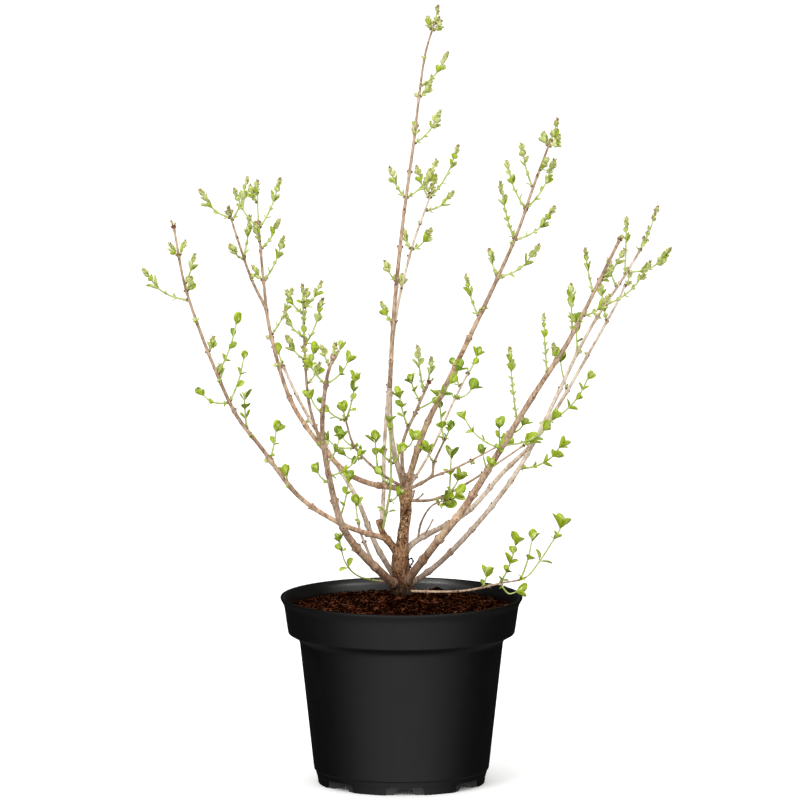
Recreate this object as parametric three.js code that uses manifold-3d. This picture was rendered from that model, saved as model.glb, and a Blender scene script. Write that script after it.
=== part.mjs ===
// A young lilac in a nursery pot, in early spring, when its buds have just opened.
// Millimetres, +Z up. The origin is the centre of the pot's underside, and -Y is the front.
import * as THREE from "three";
import { mergeVertices } from "three/addons/utils/BufferGeometryUtils.js";
import Module from "manifold-3d";

// ---- Driving dimensions ----

const GAP = 0.3; // left between two pieces that meet
const CLEARANCE = 1; // least space between a leaf or twig and any other piece
const FINEST = 0.01; // smaller steps left by a cut are smoothed away

// The pot.
const POT_HEIGHT = 178.5;
const RIM_RADIUS = 115;
const POT_SIDES = 28;
const FLOOR_UNDERSIDE = 8;
const FLOOR_TOP = 10.4;
const FOOT_RADIUS = 79;
const CENTRE_FOOT_RADIUS = 40;
const NOTCHES = 7;
const FIRST_NOTCH = -87.5; // degrees from +X, a little right of the front
const NOTCH_WIDTH = 37;
const NOTCH_HEIGHT = 8;
const NOTCH_DEPTH = 4;
const ARCH_WIDTH = [26, 15]; // of the opening behind each notch, at the ground and at its top
const DRAIN_RADIUS = 5;
const DRAIN_CIRCLE = 56;
// Radius and height of the corners, out over the foot and the collar, then in and down.
const POT_OUTSIDE = [
  [0, 0],
  [CENTRE_FOOT_RADIUS, 0],
  [CENTRE_FOOT_RADIUS, FLOOR_UNDERSIDE],
  [70, FLOOR_UNDERSIDE],
  [70, 0],
  [FOOT_RADIUS, 0],
  [79.8, 6],
  [82.9, 13.8],
  [96.9, 136],
  [103.4, 139.2],
  [107.4, 143.2],
  [111.6, 174.2],
  [RIM_RADIUS, 175.9],
  [RIM_RADIUS, POT_HEIGHT],
];
const POT_INSIDE = [
  [112.2, POT_HEIGHT],
  [105.6, 144.8],
  [94.9, 137.8],
  [80.4, FLOOR_TOP],
  [0, FLOOR_TOP],
];

// The soil: radius and height of its corners, up the pot's wall and in over the top.
const SOIL_SIDES = 24;
const SOIL_WALL = [
  [0, FLOOR_TOP + GAP],
  [79.3, FLOOR_TOP + GAP],
  [93.8, 138.2],
  [104.3, 145.3],
  [108.7, 166],
];
const SOIL_TOP = [
  [88, 168],
  [62, 170.5],
  [40, 173.5],
  [20, 177],
  [0, 178.4],
];
const LUMP = 1.6; // height of the lumps on the soil
const SEAT_RADIUS = 14; // flat seat under the trunk

// The trunk: the points it bends through, from the soil to the fork.
const TRUNK_FOOT = [1, 15, 178];
const TRUNK_PATH = [TRUNK_FOOT, [-1, 14, 211], [1, 13, 231], [4, 13, 255], [3, 13, 283]];
const TRUNK_SIDES = 10;
const TRUNK_STEP = 8;
const FLARE_LOBES = 5;
// Radius at each share of the height: flare, thick foot, waist, and the knuckle at the fork.
const TRUNK_GIRTH = [
  [0, 11],
  [0.1, 8.9],
  [0.35, 8.2],
  [0.46, 5.9],
  [0.62, 5.1],
  [0.84, 5.5],
  [0.94, 7],
  [1, 4.6],
];

// Each cane has its route from the foot up, its radius at the foot and at the tip, and the
// length that is bare. One that stands on another cane names it and how far up that cane its
// foot is. Above the bare length it is leafy: from "first" on, a pair of buds stands at every
// joint, "step" apart, each pair square to the last. "shoot" is how long the shoots are at the
// foot and at the tip of that stretch, and "turn" is where the first pair points. "strong"
// lists the shoots that stand out: how far up the cane, turned how far from the right towards
// the back, how long, and at what angle to the cane where it isn't the usual one.
const CANES = [
  {
    name: "side_stub",
    path: [[-1, 13, 215], [-8, 11, 224], [-18, 6, 239], [-21, 5, 251]],
    radius: [3.9, 2.6],
    bare: 60,
  },
  {
    name: "left_low",
    on: ["side_stub", 22],
    path: [[-53, 0, 246], [-96, -12, 275], [-131, -28, 323], [-162, -42, 370],
      [-200, -60, 471], [-214, -66, 540]],
    radius: [2.6, 1],
    bare: 92,
    leafy: { first: 20, step: 30, turn: 80, shoot: [16, 8], seed: 1 },
    strong: [[145, 0, 30], [183, 0, 32, 30], [216, 0, 44], [216, 180, 28, 70], [246, 0, 54],
      [324, 180, 46, 60], [340, 0, 24, 40], [368, 0, 9, 45], [368, 180, 9, 45]],
  },
  {
    name: "left_front",
    path: [[1, 15, 181], [-20, -8, 203], [-47, -34, 236], [-61, -56, 270], [-74, -90, 344],
      [-71, -110, 397], [-64, -118, 425]],
    radius: [4.4, 1.5],
    bare: 95,
    leafy: { first: 15, step: 34, turn: 90, shoot: [14, 8], seed: 2 },
    strong: [[120, 0, 42, 30], [162, 180, 18], [170, 0, 36, 80], [183, 0, 30, 40], [240, 180, 20],
      [271, 0, 32], [271, 180, 34, 50], [292, 60, 18], [290, 180, 16]],
  },
  {
    name: "upper_left",
    path: [[3, 13, 279], [-35, 14, 286], [-63, 22, 304], [-103, 38, 356], [-124, 54, 421],
      [-131, 66, 470], [-136, 82, 526], [-137, 88, 552]],
    radius: [2.8, 0.9],
    bare: 150,
    leafy: { first: 30, step: 28, turn: 60, shoot: [14, 10], seed: 3 },
    strong: [[211, 0, 40], [263, 0, 40, 40], [294, 0, 26, 50], [300, 240, 15, 30],
      [314, 180, 38, 40], [314, 0, 44, 36], [338, 180, 12, 34]],
  },
  {
    name: "left_fork",
    on: ["upper_left", 236],
    path: [[-141, 50, 472], [-149, 42, 495], [-162, 32, 537]],
    radius: [1.5, 0.9],
    bare: 0,
    leafy: { first: 36, step: 26, turn: 300, shoot: [16, 8], seed: 4 },
    strong: [[60, 0, 34, 30], [101, 180, 34], [98, 0, 38, 44]],
  },
  {
    name: "left_inner",
    on: ["upper_left", 93],
    path: [[-88, 8, 365], [-92, -14, 429], [-93, -26, 463]],
    radius: [1.6, 1],
    bare: 0,
    leafy: { first: 54, step: 30, turn: 90, shoot: [18, 16], seed: 5 },
    strong: [[70, 0, 18, 50], [84, 310, 26, 40], [95, 180, 22, 50], [110, 0, 42, 30],
      [119, 180, 26], [132, 75, 28, 40], [144, 180, 22], [150, 0, 26]],
  },
  {
    name: "back_left",
    path: [[1, 15, 183], [-24, 44, 220], [-43, 72, 262], [-72, 104, 306], [-97, 128, 346],
      [-113, 142, 378]],
    radius: [2.9, 1.2],
    bare: 150,
    leafy: { first: 20, step: 34, turn: 60, shoot: [14, 20], seed: 6 },
  },
  {
    name: "small_back",
    path: [[1, 15, 191], [-21, 28, 197], [-37, 45, 227], [-41, 49, 240]],
    radius: [1.7, 1.1],
    bare: 0,
    leafy: { first: 60, step: 20, turn: 20, shoot: [26, 26], seed: 7 },
  },
  {
    name: "behind_leader",
    on: ["side_stub", 33],
    path: [[-17, 36, 274], [-16, 50, 320], [-9, 74, 404], [-3, 84, 447],
      [10, 96, 499], [28, 108, 549]],
    radius: [2.1, 0.9],
    bare: 205,
    leafy: { first: 34, step: 34, turn: 90, shoot: [14, 16], seed: 8 },
    strong: [[278, 0, 20], [278, 180, 15], [330, 0, 50, 20], [318, 0, 26, 60], [330, 180, 26, 50]],
  },
  {
    name: "leader",
    path: [[3, 13, 277], [-10, 18, 335], [-9, 22, 419], [0, 26, 521], [11, 30, 604],
      [21, 34, 684], [31, 37, 721]],
    radius: [2.6, 0.9],
    bare: 100,
    leafy: { first: 26, step: 38, turn: 80, shoot: [10, 14], seed: 9 },
    strong: [[162, 180, 16], [201, 180, 17], [281, 180, 26], [281, 0, 38], [333, 0, 33],
      [388, 0, 34], [442, 180, 8], [442, 0, 8]],
  },
  {
    name: "centre",
    path: [[3, 13, 277], [1, -8, 324], [14, -26, 360], [26, -44, 390]],
    radius: [1.9, 1.2],
    bare: 0,
    leafy: { first: 50, step: 40, turn: 90, shoot: [12, 12], seed: 10 },
    strong: [[50, 300, 26, 60], [73, 180, 33, 40], [95, 0, 60, 34], [106, 180, 22, 50],
      [117, 180, 42, 30], [121, 100, 24, 40]],
  },
  {
    name: "right_top",
    path: [[3, 13, 275], [21, -8, 337], [42, -20, 383], [77, -38, 459], [107, -52, 528],
      [124, -60, 578], [140, -64, 622]],
    radius: [3.2, 1],
    bare: 178,
    leafy: { first: 26, step: 36, turn: 60, shoot: [14, 20], seed: 11 },
    strong: [[196, 180, 36], [240, 180, 22], [240, 0, 42], [280, 180, 50, 40], [280, 0, 42],
      [312, 180, 42], [312, 0, 46, 24], [334, 180, 36, 40], [352, 300, 12], [376, 0, 9], [376, 180, 9]],
  },
  {
    name: "fork_left",
    path: [[3, 13, 280], [-22, -6, 299], [-44, -24, 325], [-53, -40, 354]],
    radius: [1.6, 0.9],
    bare: 0,
    leafy: { first: 40, step: 40, turn: 60, shoot: [14, 14], seed: 12 },
    strong: [[37, 0, 32, 36], [60, 180, 20, 60], [75, 180, 30, 60], [108, 180, 28], [108, 0, 44, 30]],
  },
  {
    name: "fork_right",
    path: [[3, 13, 277], [27, 2, 292], [31, -8, 308], [41, -20, 332]],
    radius: [1.8, 0.9],
    bare: 0,
    leafy: { first: 50, step: 24, turn: 30, shoot: [14, 16], seed: 13 },
    strong: [[76, 130, 42, 50]],
  },
  {
    name: "fork_low",
    on: ["fork_right", 29],
    path: [[55, 14, 301], [91, 26, 318]],
    radius: [1.2, 0.8],
    bare: 0,
    leafy: { first: 44, step: 26, turn: 30, shoot: [10, 10], seed: 14 },
  },
  {
    name: "fork_back",
    path: [[3, 13, 274], [29, 44, 313], [48, 66, 352], [63, 80, 380]],
    radius: [1.5, 0.9],
    bare: 0,
    leafy: { first: 84, step: 28, turn: 10, shoot: [14, 30], seed: 15 },
    strong: [[112, 0, 20, 50], [124, 180, 22, 50]],
  },
  {
    name: "low_twig",
    path: [[4, 13, 268], [32, 30, 267], [65, 54, 280], [116, 84, 310]],
    radius: [1.6, 0.8],
    bare: 0,
    leafy: { first: 40, step: 50, turn: 60, shoot: [14, 8], seed: 16 },
    strong: [[50, 180, 34, 60], [46, 240, 20]],
  },
  {
    name: "right_lower",
    path: [[1, 14, 213], [14, 22, 228], [62, 64, 249], [96, 92, 282], [137, 118, 323],
      [198, 150, 423], [214, 156, 454]],
    radius: [3, 1],
    bare: 190,
    leafy: { first: 60, step: 40, turn: 30, shoot: [12, 14], seed: 17 },
    strong: [[213, 0, 60, 22], [250, 180, 30]],
  },
  {
    name: "lower_twig",
    on: ["right_lower", 24],
    path: [[19, 18, 247], [29, 8, 264], [46, -2, 272]],
    radius: [1.1, 0.7],
    bare: 0,
    leafy: { first: 48, step: 20, turn: 0, shoot: [10, 10], seed: 18 },
  },
  {
    name: "right_front",
    path: [[1, 15, 185], [31, -18, 230], [60, -42, 271], [93, -68, 329], [123, -88, 382],
      [160, -106, 444], [204, -124, 536]],
    radius: [4.2, 1.4],
    bare: 150,
    leafy: { first: 16, step: 42, turn: 100, shoot: [14, 8], seed: 19 },
    strong: [[165, 180, 18], [192, 180, 46, 96], [196, 0, 58], [190, 250, 40], [225, 180, 66, 36],
      [282, 180, 52, 36], [330, 180, 40, 30], [350, 0, 26], [375, 180, 36, 40], [392, 0, 28, 30]],
  },
  {
    name: "right_outer",
    path: [[1, 15, 182], [41, 44, 208], [91, 76, 259], [127, 100, 312], [176, 120, 410],
      [213, 124, 468], [228, 126, 493]],
    radius: [2.9, 1.1],
    bare: 160,
    leafy: { first: 60, step: 38, turn: 125, shoot: [14, 47], seed: 20 },
    strong: [[172, 0, 48], [349, 0, 54, 30], [349, 180, 16], [370, 200, 24, 60], [384, 180, 46, 30],
      [388, 330, 46, 56]],
  },
  {
    name: "runner",
    path: [[1, 14, 181], [55, -6, 184], [94, -14, 193], [117, -18, 199], [130, -20, 214],
      [145, -24, 238]],
    radius: [1.7, 0.9],
    bare: 0,
    leafy: { first: 118, step: 26, turn: 70, shoot: [12, 18], seed: 21 },
    strong: [[98, 180, 42], [98, 0, 20, 70], [118, 180, 40, 50], [80, 180, 12]],
  },
  {
    name: "low_left",
    path: [[1, 15, 188], [-30, 2, 194], [-44, -8, 201], [-53, -16, 213], [-57, -20, 226]],
    radius: [1.5, 0.8],
    bare: 0,
    leafy: { first: 64, step: 18, turn: 30, shoot: [12, 14], seed: 22 },
  },
  {
    name: "green_shoot",
    on: ["side_stub", 31],
    path: [[-14, -4, 262], [-10, -15, 292], [-11, -31, 343]],
    radius: [1.8, 1],
    bare: 0,
    leafy: { first: 22, step: 26, turn: 0, shoot: [10, 12], seed: 23 },
    strong: [[34, 0, 12, 60], [52, 180, 13, 60], [74, 0, 14, 50], [76, 180, 12, 50]],
  },
];

// Limbs, shoots and leaves.
const BOUGH_SIDES = 6;
const STEM_SIDES = 4; // of a leafy stem
const STEM_STEP = 40; // between the rings of a bough or stem
const SHOOT_SIDES = 3;
const SHOOT_STEP = 24; // between the rings of a shoot
const SHOOT_RADIUS = 1.1;
const SHOOT_TIP = 2.4; // the bud that stands above the last pair of leaves
const SPREAD = 48; // degrees between a shoot and its cane
const TIP_LEAN = 5; // degrees between a cane and the shoot that goes on from its tip
const RISE = 0.5; // how far a shoot has bent upright at its tip
const AWAKE = 0.15; // share of the buds that have grown into a shoot
const PAIR_SPACING = 19; // between the leaf pairs of a shoot
const LEAF_LENGTH = 15;
const LEAF_WIDTH = 0.7; // of its length
const LEAF_THICKNESS = 0.8;
const LEAF_ANGLE = [58, 38]; // degrees from the shoot, at its foot and at its tip
const LEAF_WIDEST = 0.45; // share of the length from its foot
const LEAF_ROOT = 0.25; // between the middle of the shoot and the foot of a leaf
const LOWEST_LEAF = 182; // clears the rim and the soil

// ---- Helpers ----

const wasm = await Module();
wasm.setup();

const UP = new THREE.Vector3(0, 0, 1);
const BACK = new THREE.Vector3(0, 1, 0);
const DEGREE = Math.PI / 180;

const vector = ([x, y, z]) => new THREE.Vector3(x, y, z);
const mix = THREE.MathUtils.lerp;

// ---- Solids ----

// A closed geometry as a solid that can be joined and cut.
function solidOf(geometry) {
  geometry.deleteAttribute("normal");
  geometry.deleteAttribute("uv");
  const merged = mergeVertices(geometry, 1e-4);
  return new wasm.Manifold(
    new wasm.Mesh({
      numProp: 3,
      vertProperties: merged.attributes.position.array,
      triVerts: new Uint32Array(merged.index.array),
    }),
  );
}

function geometryOf(solid) {
  const { vertProperties, triVerts } = solid.getMesh();
  const geometry = new THREE.BufferGeometry();
  geometry.setAttribute("position", new THREE.BufferAttribute(vertProperties, 3));
  geometry.setIndex(new THREE.BufferAttribute(triVerts, 1));
  return geometry;
}

// The largest body of a solid: cut-off scraps and sealed hollows are dropped.
function oneBody(solid) {
  const bodies = solid.simplify(FINEST).decompose();
  return bodies.reduce((best, body) => (body.volume() > best.volume() ? body : best));
}

const root = new THREE.Group();

function addNode(name, solid, { color, roughness }) {
  const material = new THREE.MeshStandardMaterial({ color, roughness, metalness: 0 });
  const mesh = new THREE.Mesh(geometryOf(oneBody(solid)), material);
  mesh.name = name;
  root.add(mesh);
}

const FINISH = {
  pot: { color: "#1d1e1f", roughness: 0.42 },
  soil: { color: "#3b2418", roughness: 0.95 },
  bark: { color: "#a3866d", roughness: 0.8 },
  leaf: { color: "#86a83a", roughness: 0.6 },
};

// ---- Pot: thin black plastic, with a deep collar and a notched foot ring ----

function lathe(profile, sides) {
  return new THREE.LatheGeometry(profile.map(([r, z]) => new THREE.Vector2(r, z)), sides)
    .rotateX(90 * DEGREE);
}

// An opening through the foot ring: wider at the ground, cut between two radii.
function footOpening([low, high], height, inner, outer, turn) {
  const outline = new THREE.Shape([
    new THREE.Vector2(-low / 2, -1),
    new THREE.Vector2(low / 2, -1),
    new THREE.Vector2(high / 2, height),
    new THREE.Vector2(-high / 2, height),
  ]);
  return solidOf(
    new THREE.ExtrudeGeometry(outline, { depth: outer - inner, bevelEnabled: false })
      .rotateX(90 * DEGREE)
      .rotateZ(90 * DEGREE)
      .translate(inner, 0, 0)
      .rotateZ(turn),
  );
}

function makePot() {
  const openings = [];
  for (let i = 0; i < NOTCHES; i++) {
    const turn = (FIRST_NOTCH + (360 / NOTCHES) * i) * DEGREE;
    const recess = FOOT_RADIUS - NOTCH_DEPTH;
    openings.push(footOpening([NOTCH_WIDTH, NOTCH_WIDTH], NOTCH_HEIGHT, recess, 90, turn));
    openings.push(footOpening(ARCH_WIDTH, NOTCH_HEIGHT - 1, 60, 90, turn));
    openings.push(
      solidOf(
        new THREE.CylinderGeometry(DRAIN_RADIUS, DRAIN_RADIUS, 20, 8)
          .rotateX(90 * DEGREE)
          .translate(DRAIN_CIRCLE, 0, FLOOR_TOP)
          .rotateZ(turn),
      ),
    );
  }
  const body = solidOf(lathe([...POT_OUTSIDE, ...POT_INSIDE], POT_SIDES));
  return body.subtract(wasm.Manifold.union(openings));
}

// ---- Potting soil: fills the pot and is mounded and lumpy round the trunk ----

function makeSoil() {
  const geometry = lathe([...SOIL_WALL, ...SOIL_TOP], SOIL_SIDES);
  const place = geometry.attributes.position;
  for (let i = 0; i < place.count; i++) {
    const [x, y, z] = [place.getX(i), place.getY(i), place.getZ(i)];
    const lumpy = z > SOIL_WALL.at(-1)[1] + 1 && Math.hypot(x, y) > 1;
    const lump = Math.sin(x / 5.3 + y / 17) * Math.cos(y / 4.1 - x / 23);
    if (lumpy) place.setZ(i, z + LUMP * lump);
  }
  const [x, y, ground] = TRUNK_FOOT;
  const seat = new THREE.CylinderGeometry(SEAT_RADIUS, SEAT_RADIUS, 20, 18)
    .rotateX(90 * DEGREE)
    .translate(x, y, ground - GAP + 10);
  return solidOf(geometry).subtract(solidOf(seat));
}

// ---- Stems: round, tapering and bent along a curve ----

// A route along a curve through a few points, measured in millimetres from its foot. It runs
// straight from ring to ring, about a step apart, with a ring at each of its stops.
function routeOf(points, step, stops = []) {
  const curve = new THREE.CatmullRomCurve3(points, false, "catmullrom");
  const length = curve.getLength();
  const rings = [0];
  for (const stop of [...stops.filter((s) => s > 0 && s < length), length]) {
    const from = rings.at(-1);
    const count = Math.max(1, Math.round((stop - from) / step));
    for (let i = 1; i <= count; i++) rings.push(mix(from, stop, i / count));
  }
  const pointAt = (s) => curve.getPointAt(Math.min(s / length, 1));
  const at = (s) => {
    const next = Math.max(1, rings.findIndex((ring) => ring >= Math.min(s, length)));
    const [low, high] = [rings[next - 1], rings[next]];
    return pointAt(low).lerp(pointAt(high), (s - low) / (high - low));
  };
  const heading = (s) => curve.getTangentAt(THREE.MathUtils.clamp(s / length, 0, 1));
  return { length, rings, at, heading };
}

// Two directions square to a heading: the first lies towards +X, the second to the back.
function sidesOf(heading) {
  const right = new THREE.Vector3().crossVectors(BACK, heading).normalize();
  const back = new THREE.Vector3().crossVectors(heading, right);
  return [right, back];
}

function turned(heading, degrees) {
  const [right, back] = sidesOf(heading);
  return right
    .multiplyScalar(Math.cos(degrees * DEGREE))
    .addScaledVector(back, Math.sin(degrees * DEGREE));
}

// A closed tube along part of a route, whose radius follows a rule.
function tube(route, from, to, radiusAt, sides) {
  const rings = [from, ...route.rings.filter((s) => s > from + 1 && s < to - 1), to];
  const geometry = new THREE.CylinderGeometry(1, 1, 1, sides, rings.length - 1);
  const place = geometry.attributes.position;
  for (let i = 0; i < place.count; i++) {
    const s = rings[Math.round((place.getY(i) + 0.5) * (rings.length - 1))];
    const [right, back] = sidesOf(route.heading(s));
    const radius = radiusAt(s, Math.atan2(place.getX(i), place.getZ(i)));
    const point = route
      .at(s)
      .addScaledVector(right, place.getZ(i) * radius)
      .addScaledVector(back, place.getX(i) * radius);
    place.setXYZ(i, point.x, point.y, point.z);
  }
  return solidOf(geometry);
}

// ---- Everything placed so far, as capsules that belong to a piece ----

const taken = [];
const STEM = 0;

function claim(owner, shoot, from, to, radius) {
  taken.push({ owner, shoot, line: new THREE.Line3(from, to), radius });
}

// Shoots of one mass may touch its stem but not each other; other pieces stay a clearance off.
function isClear(owner, shoot, from, to, radius) {
  const line = new THREE.Line3(from, to);
  return taken.every((other) => {
    const kin = other.owner === owner;
    if (kin && (other.shoot === shoot || other.shoot === STEM)) return true;
    const least = radius + other.radius + (kin ? 0 : CLEARANCE);
    return other.line.distanceSqToLine3(line) > least * least;
  });
}

function claimRoute(owner, route, from, to, radiusAt) {
  const steps = Math.ceil((to - from) / 12);
  for (let i = 0; i < steps; i++) {
    const [low, high] = [mix(from, to, i / steps), mix(from, to, (i + 1) / steps)];
    claim(owner, STEM, route.at(low), route.at(high), radiusAt(low));
  }
}

// ---- Trunk: short, leaning and knotted, from its root flare to the fork ----

function girthAt(share) {
  const next = TRUNK_GIRTH.findIndex(([mark]) => mark >= share && mark > 0);
  const [[low, thin], [high, thick]] = TRUNK_GIRTH.slice(next - 1, next + 1);
  return mix(thin, thick, (share - low) / (high - low));
}

const trunk = routeOf(TRUNK_PATH.map(vector), TRUNK_STEP);
const trunkRadius = (s, around = 0) => {
  const share = Math.min(s / trunk.length, 1);
  const lobes = 0.14 * Math.cos(FLARE_LOBES * around) * (1 - share) ** 6;
  return girthAt(share) * (1 + lobes);
};

// The foot is cut flat at the soil.
function makeTrunk(extra) {
  const radiusAt = (s, around) => trunkRadius(s, around) + extra;
  const whole = tube(trunk, 0, trunk.length, radiusAt, TRUNK_SIDES);
  const [x, y, ground] = TRUNK_FOOT;
  const below = new THREE.BoxGeometry(60, 60, 20).translate(x, y, ground - 10);
  return extra ? whole : whole.subtract(solidOf(below));
}

// ---- Shoots and leaves ----

function seeded(seed) {
  let state = seed * 7919 + 12345;
  return () => {
    state = (state * 1664525 + 1013904223) % 4294967296;
    return state / 4294967296;
  };
}

// A direction that leans from a heading towards a side.
function leant(heading, side, degrees) {
  return heading
    .clone()
    .multiplyScalar(Math.cos(degrees * DEGREE))
    .addScaledVector(side, Math.sin(degrees * DEGREE));
}

// A flat eight-faced blade with its foot sunk in the shoot.
function leafSolid(foot, out, face, length) {
  const across = new THREE.Vector3().crossVectors(face, out);
  const geometry = new THREE.OctahedronGeometry(1);
  const place = geometry.attributes.position;
  for (let i = 0; i < place.count; i++) {
    const [x, y, z] = [place.getX(i), place.getY(i), place.getZ(i)];
    const along = Math.abs(x) < 0.5 ? LEAF_WIDEST * length : Math.max(x, 0) * length;
    const point = foot
      .clone()
      .addScaledVector(out, along)
      .addScaledVector(across, (y * length * LEAF_WIDTH) / 2)
      .addScaledVector(face, (z * LEAF_THICKNESS) / 2);
    place.setXYZ(i, point.x, point.y, point.z);
  }
  return solidOf(geometry);
}

// The bent line of a shoot, which leaves its cane at an angle and turns upright.
function shootPoints(foot, start, length) {
  const points = [foot];
  for (let i = 0; i < 3; i++) {
    const step = start.clone().lerp(UP, (RISE * i) / 2).setLength(length / 3);
    points.push(points.at(-1).clone().add(step));
  }
  return points;
}

// A shoot with a pair of leaves at each joint, each pair square to the last.
function growShoot(owner, shoot, foot, start, length, random) {
  const points = shootPoints(foot, start, length);
  const pairs = Math.max(1, Math.round(length / PAIR_SPACING));
  const twist = 60 * random();
  const sizes = Array.from({ length: 2 * pairs }, () => 0.8 + 0.4 * random());
  const outer = [points[0].clone().lerp(points[1], 0.6), ...points.slice(1)];
  const low = points.some((point) => point.z < LOWEST_LEAF);
  const free = points.slice(1).every((point, i) => isClear(owner, shoot, outer[i], point, 1));
  if (low || !free) return [];
  points.slice(1).forEach((point, i) => claim(owner, shoot, outer[i], point, 1));

  const route = routeOf(points, SHOOT_STEP);
  const radiusAt = (s) => SHOOT_RADIUS * (1 - (0.3 * s) / length);
  const solids = [tube(route, 0, route.length, radiusAt, SHOOT_SIDES)];
  sizes.forEach((size, i) => {
    const pair = Math.floor(i / 2);
    const share = (pair + 1) / pairs;
    const s = route.length * share - SHOOT_TIP;
    const tilt = mix(...LEAF_ANGLE, share);
    const side = turned(route.heading(s), twist + 90 * pair + 180 * (i % 2));
    const out = leant(route.heading(s), side, tilt);
    const face = leant(route.heading(s), side, tilt - 90);
    const leafLength = LEAF_LENGTH * size * (0.72 + 0.4 * Math.sin(0.8 * Math.PI * share));
    const at = route.at(s).addScaledVector(side, LEAF_ROOT);
    const middle = at.clone().addScaledVector(out, 0.35 * leafLength);
    const end = at.clone().addScaledVector(out, 0.8 * leafLength);
    const reach = (leafLength * LEAF_WIDTH) / 2;
    if (end.z < LOWEST_LEAF || !isClear(owner, shoot, middle, end, reach)) return;
    claim(owner, shoot, middle, end, reach);
    solids.push(leafSolid(at, out, face, leafLength));
  });
  return solids;
}

// All the shoots of a leafy stem: first the one that goes on from its tip, then the strong
// ones, then those at its joints.
function growMass(owner, route, bare, rule, strong = []) {
  const random = seeded(rule.seed);
  const solids = [];
  let shoot = STEM;
  const grow = (s, turn, length, spread = SPREAD) => {
    const start = leant(route.heading(s), turned(route.heading(s), turn), spread);
    shoot++;
    solids.push(...growShoot(owner, shoot, route.at(s), start, length, random));
  };
  grow(route.length - 1, rule.turn, rule.shoot[1], TIP_LEAN);
  for (const place of strong) grow(...place);
  const leafy = route.length - bare;
  const joints = Math.max(1, Math.round((leafy - rule.first) / rule.step));
  for (let joint = 0; joint <= joints; joint++) {
    const share = joint / joints;
    const s = Math.min(bare + mix(rule.first, leafy, share), route.length - 1);
    for (const half of [0, 180]) {
      const [wakes, vigour, twist] = [random(), random(), random()];
      const length = mix(...rule.shoot, share) * (0.6 + 0.7 * vigour);
      if (wakes < AWAKE) grow(s, rule.turn + half + 90 * joint + 30 * (twist - 0.5), length);
    }
  }
  return solids;
}

// ---- Assembly ----

addNode("pot", makePot(), FINISH.pot);
addNode("potting_soil", makeSoil(), FINISH.soil);
addNode("trunk", makeTrunk(0), FINISH.bark);
claimRoute("trunk", trunk, 0, trunk.length, () => 7);

// Each limb and leafy stem is cut clear of those before it, which are kept a gap fatter.
const fattened = [makeTrunk(GAP)];
const leafyStems = [];
const limbs = new Map();

function cutClear(solid) {
  return oneBody(fattened.reduce((rest, other) => rest.subtract(other), solid));
}

for (const { name, on, path, radius, bare, leafy, strong } of CANES) {
  const points = path.map(vector);
  if (on) points.unshift(limbs.get(on[0]).at(on[1]));
  const route = routeOf(points, STEM_STEP, [bare]);
  limbs.set(name, route);
  const radiusAt = (s) => mix(...radius, s / route.length);
  const section = (from, to, extra, sides) =>
    tube(route, from, to, (s) => radiusAt(s) + extra, sides);
  const end = Math.min(bare, route.length);
  const fat = [];
  if (bare > 0) {
    const owner = leafy ? name + "_bough" : name;
    addNode(owner, cutClear(section(0, end, 0, BOUGH_SIDES)), FINISH.bark);
    claimRoute(owner, route, 0, end, radiusAt);
    fat.push(section(0, end, GAP, BOUGH_SIDES));
  }
  if (leafy) {
    const owner = name + "_foliage";
    const from = bare > 0 ? bare + GAP : 0;
    const stem = cutClear(section(from, route.length, 0, STEM_SIDES));
    claimRoute(owner, route, from, route.length, radiusAt);
    fat.push(section(from, route.length, GAP, STEM_SIDES));
    leafyStems.push({ owner, route, bare, leafy, strong, stem });
  }
  fattened.push(...fat);
}

for (const { owner, route, bare, leafy, strong, stem } of leafyStems) {
  const shoots = growMass(owner, route, bare, leafy, strong);
  addNode(owner, wasm.Manifold.union([stem, ...shoots]), FINISH.leaf);
}

export default root;
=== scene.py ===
import random
from collections import namedtuple
from itertools import product
from math import ceil, cos, exp, hypot, inf, pi, radians, sin, sqrt, tan

import bpy
import numpy as np
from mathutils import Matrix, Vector, noise


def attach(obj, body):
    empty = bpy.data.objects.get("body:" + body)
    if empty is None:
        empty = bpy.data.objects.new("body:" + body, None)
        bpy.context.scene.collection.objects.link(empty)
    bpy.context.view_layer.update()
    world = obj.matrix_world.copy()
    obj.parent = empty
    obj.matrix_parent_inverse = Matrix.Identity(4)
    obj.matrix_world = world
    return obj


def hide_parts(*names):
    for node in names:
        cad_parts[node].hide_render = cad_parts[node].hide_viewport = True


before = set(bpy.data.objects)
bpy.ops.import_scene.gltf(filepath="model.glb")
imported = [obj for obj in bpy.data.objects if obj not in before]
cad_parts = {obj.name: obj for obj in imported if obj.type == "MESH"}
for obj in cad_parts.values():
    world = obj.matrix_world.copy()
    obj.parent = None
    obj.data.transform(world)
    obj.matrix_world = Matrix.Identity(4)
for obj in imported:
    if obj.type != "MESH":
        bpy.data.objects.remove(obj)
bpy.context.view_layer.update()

# ---- Studio ----
# A pale floor that runs on past the view, a bright even room and two broad soft lights.
# The camera stands far off with a long lens and looks down a little on the pot.

MM = 0.001  # the studio is measured in metres, the plant and its pot in millimetres
VIEW_ELEVATION = radians(8.3)
VIEW_DISTANCE = 12.0
VIEW_WIDTH = 0.7572  # of the view at the pot
VIEW_TARGET = Vector((-0.0014, 0.0, 0.3664))
SENSOR_WIDTH = 36.0
FLOOR_HALF = 30.0
FLOOR_COLOUR = "#fcfcfb"
ROOM_STRENGTH = 1.6
FROM_BELOW = 0.45  # share of the room's light that comes from straight below
SIDE_STRENGTH = 0.52  # of the light from the left and right, which is flagged off a little
GLOSS_FRONT = 1.9  # of the room in front as it shows in glossy skins
GLOSS_SIDE = 0.02  # and of the dark sides and back
GLOSS_FLOOR = 0.3  # and of the pale floor
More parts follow.
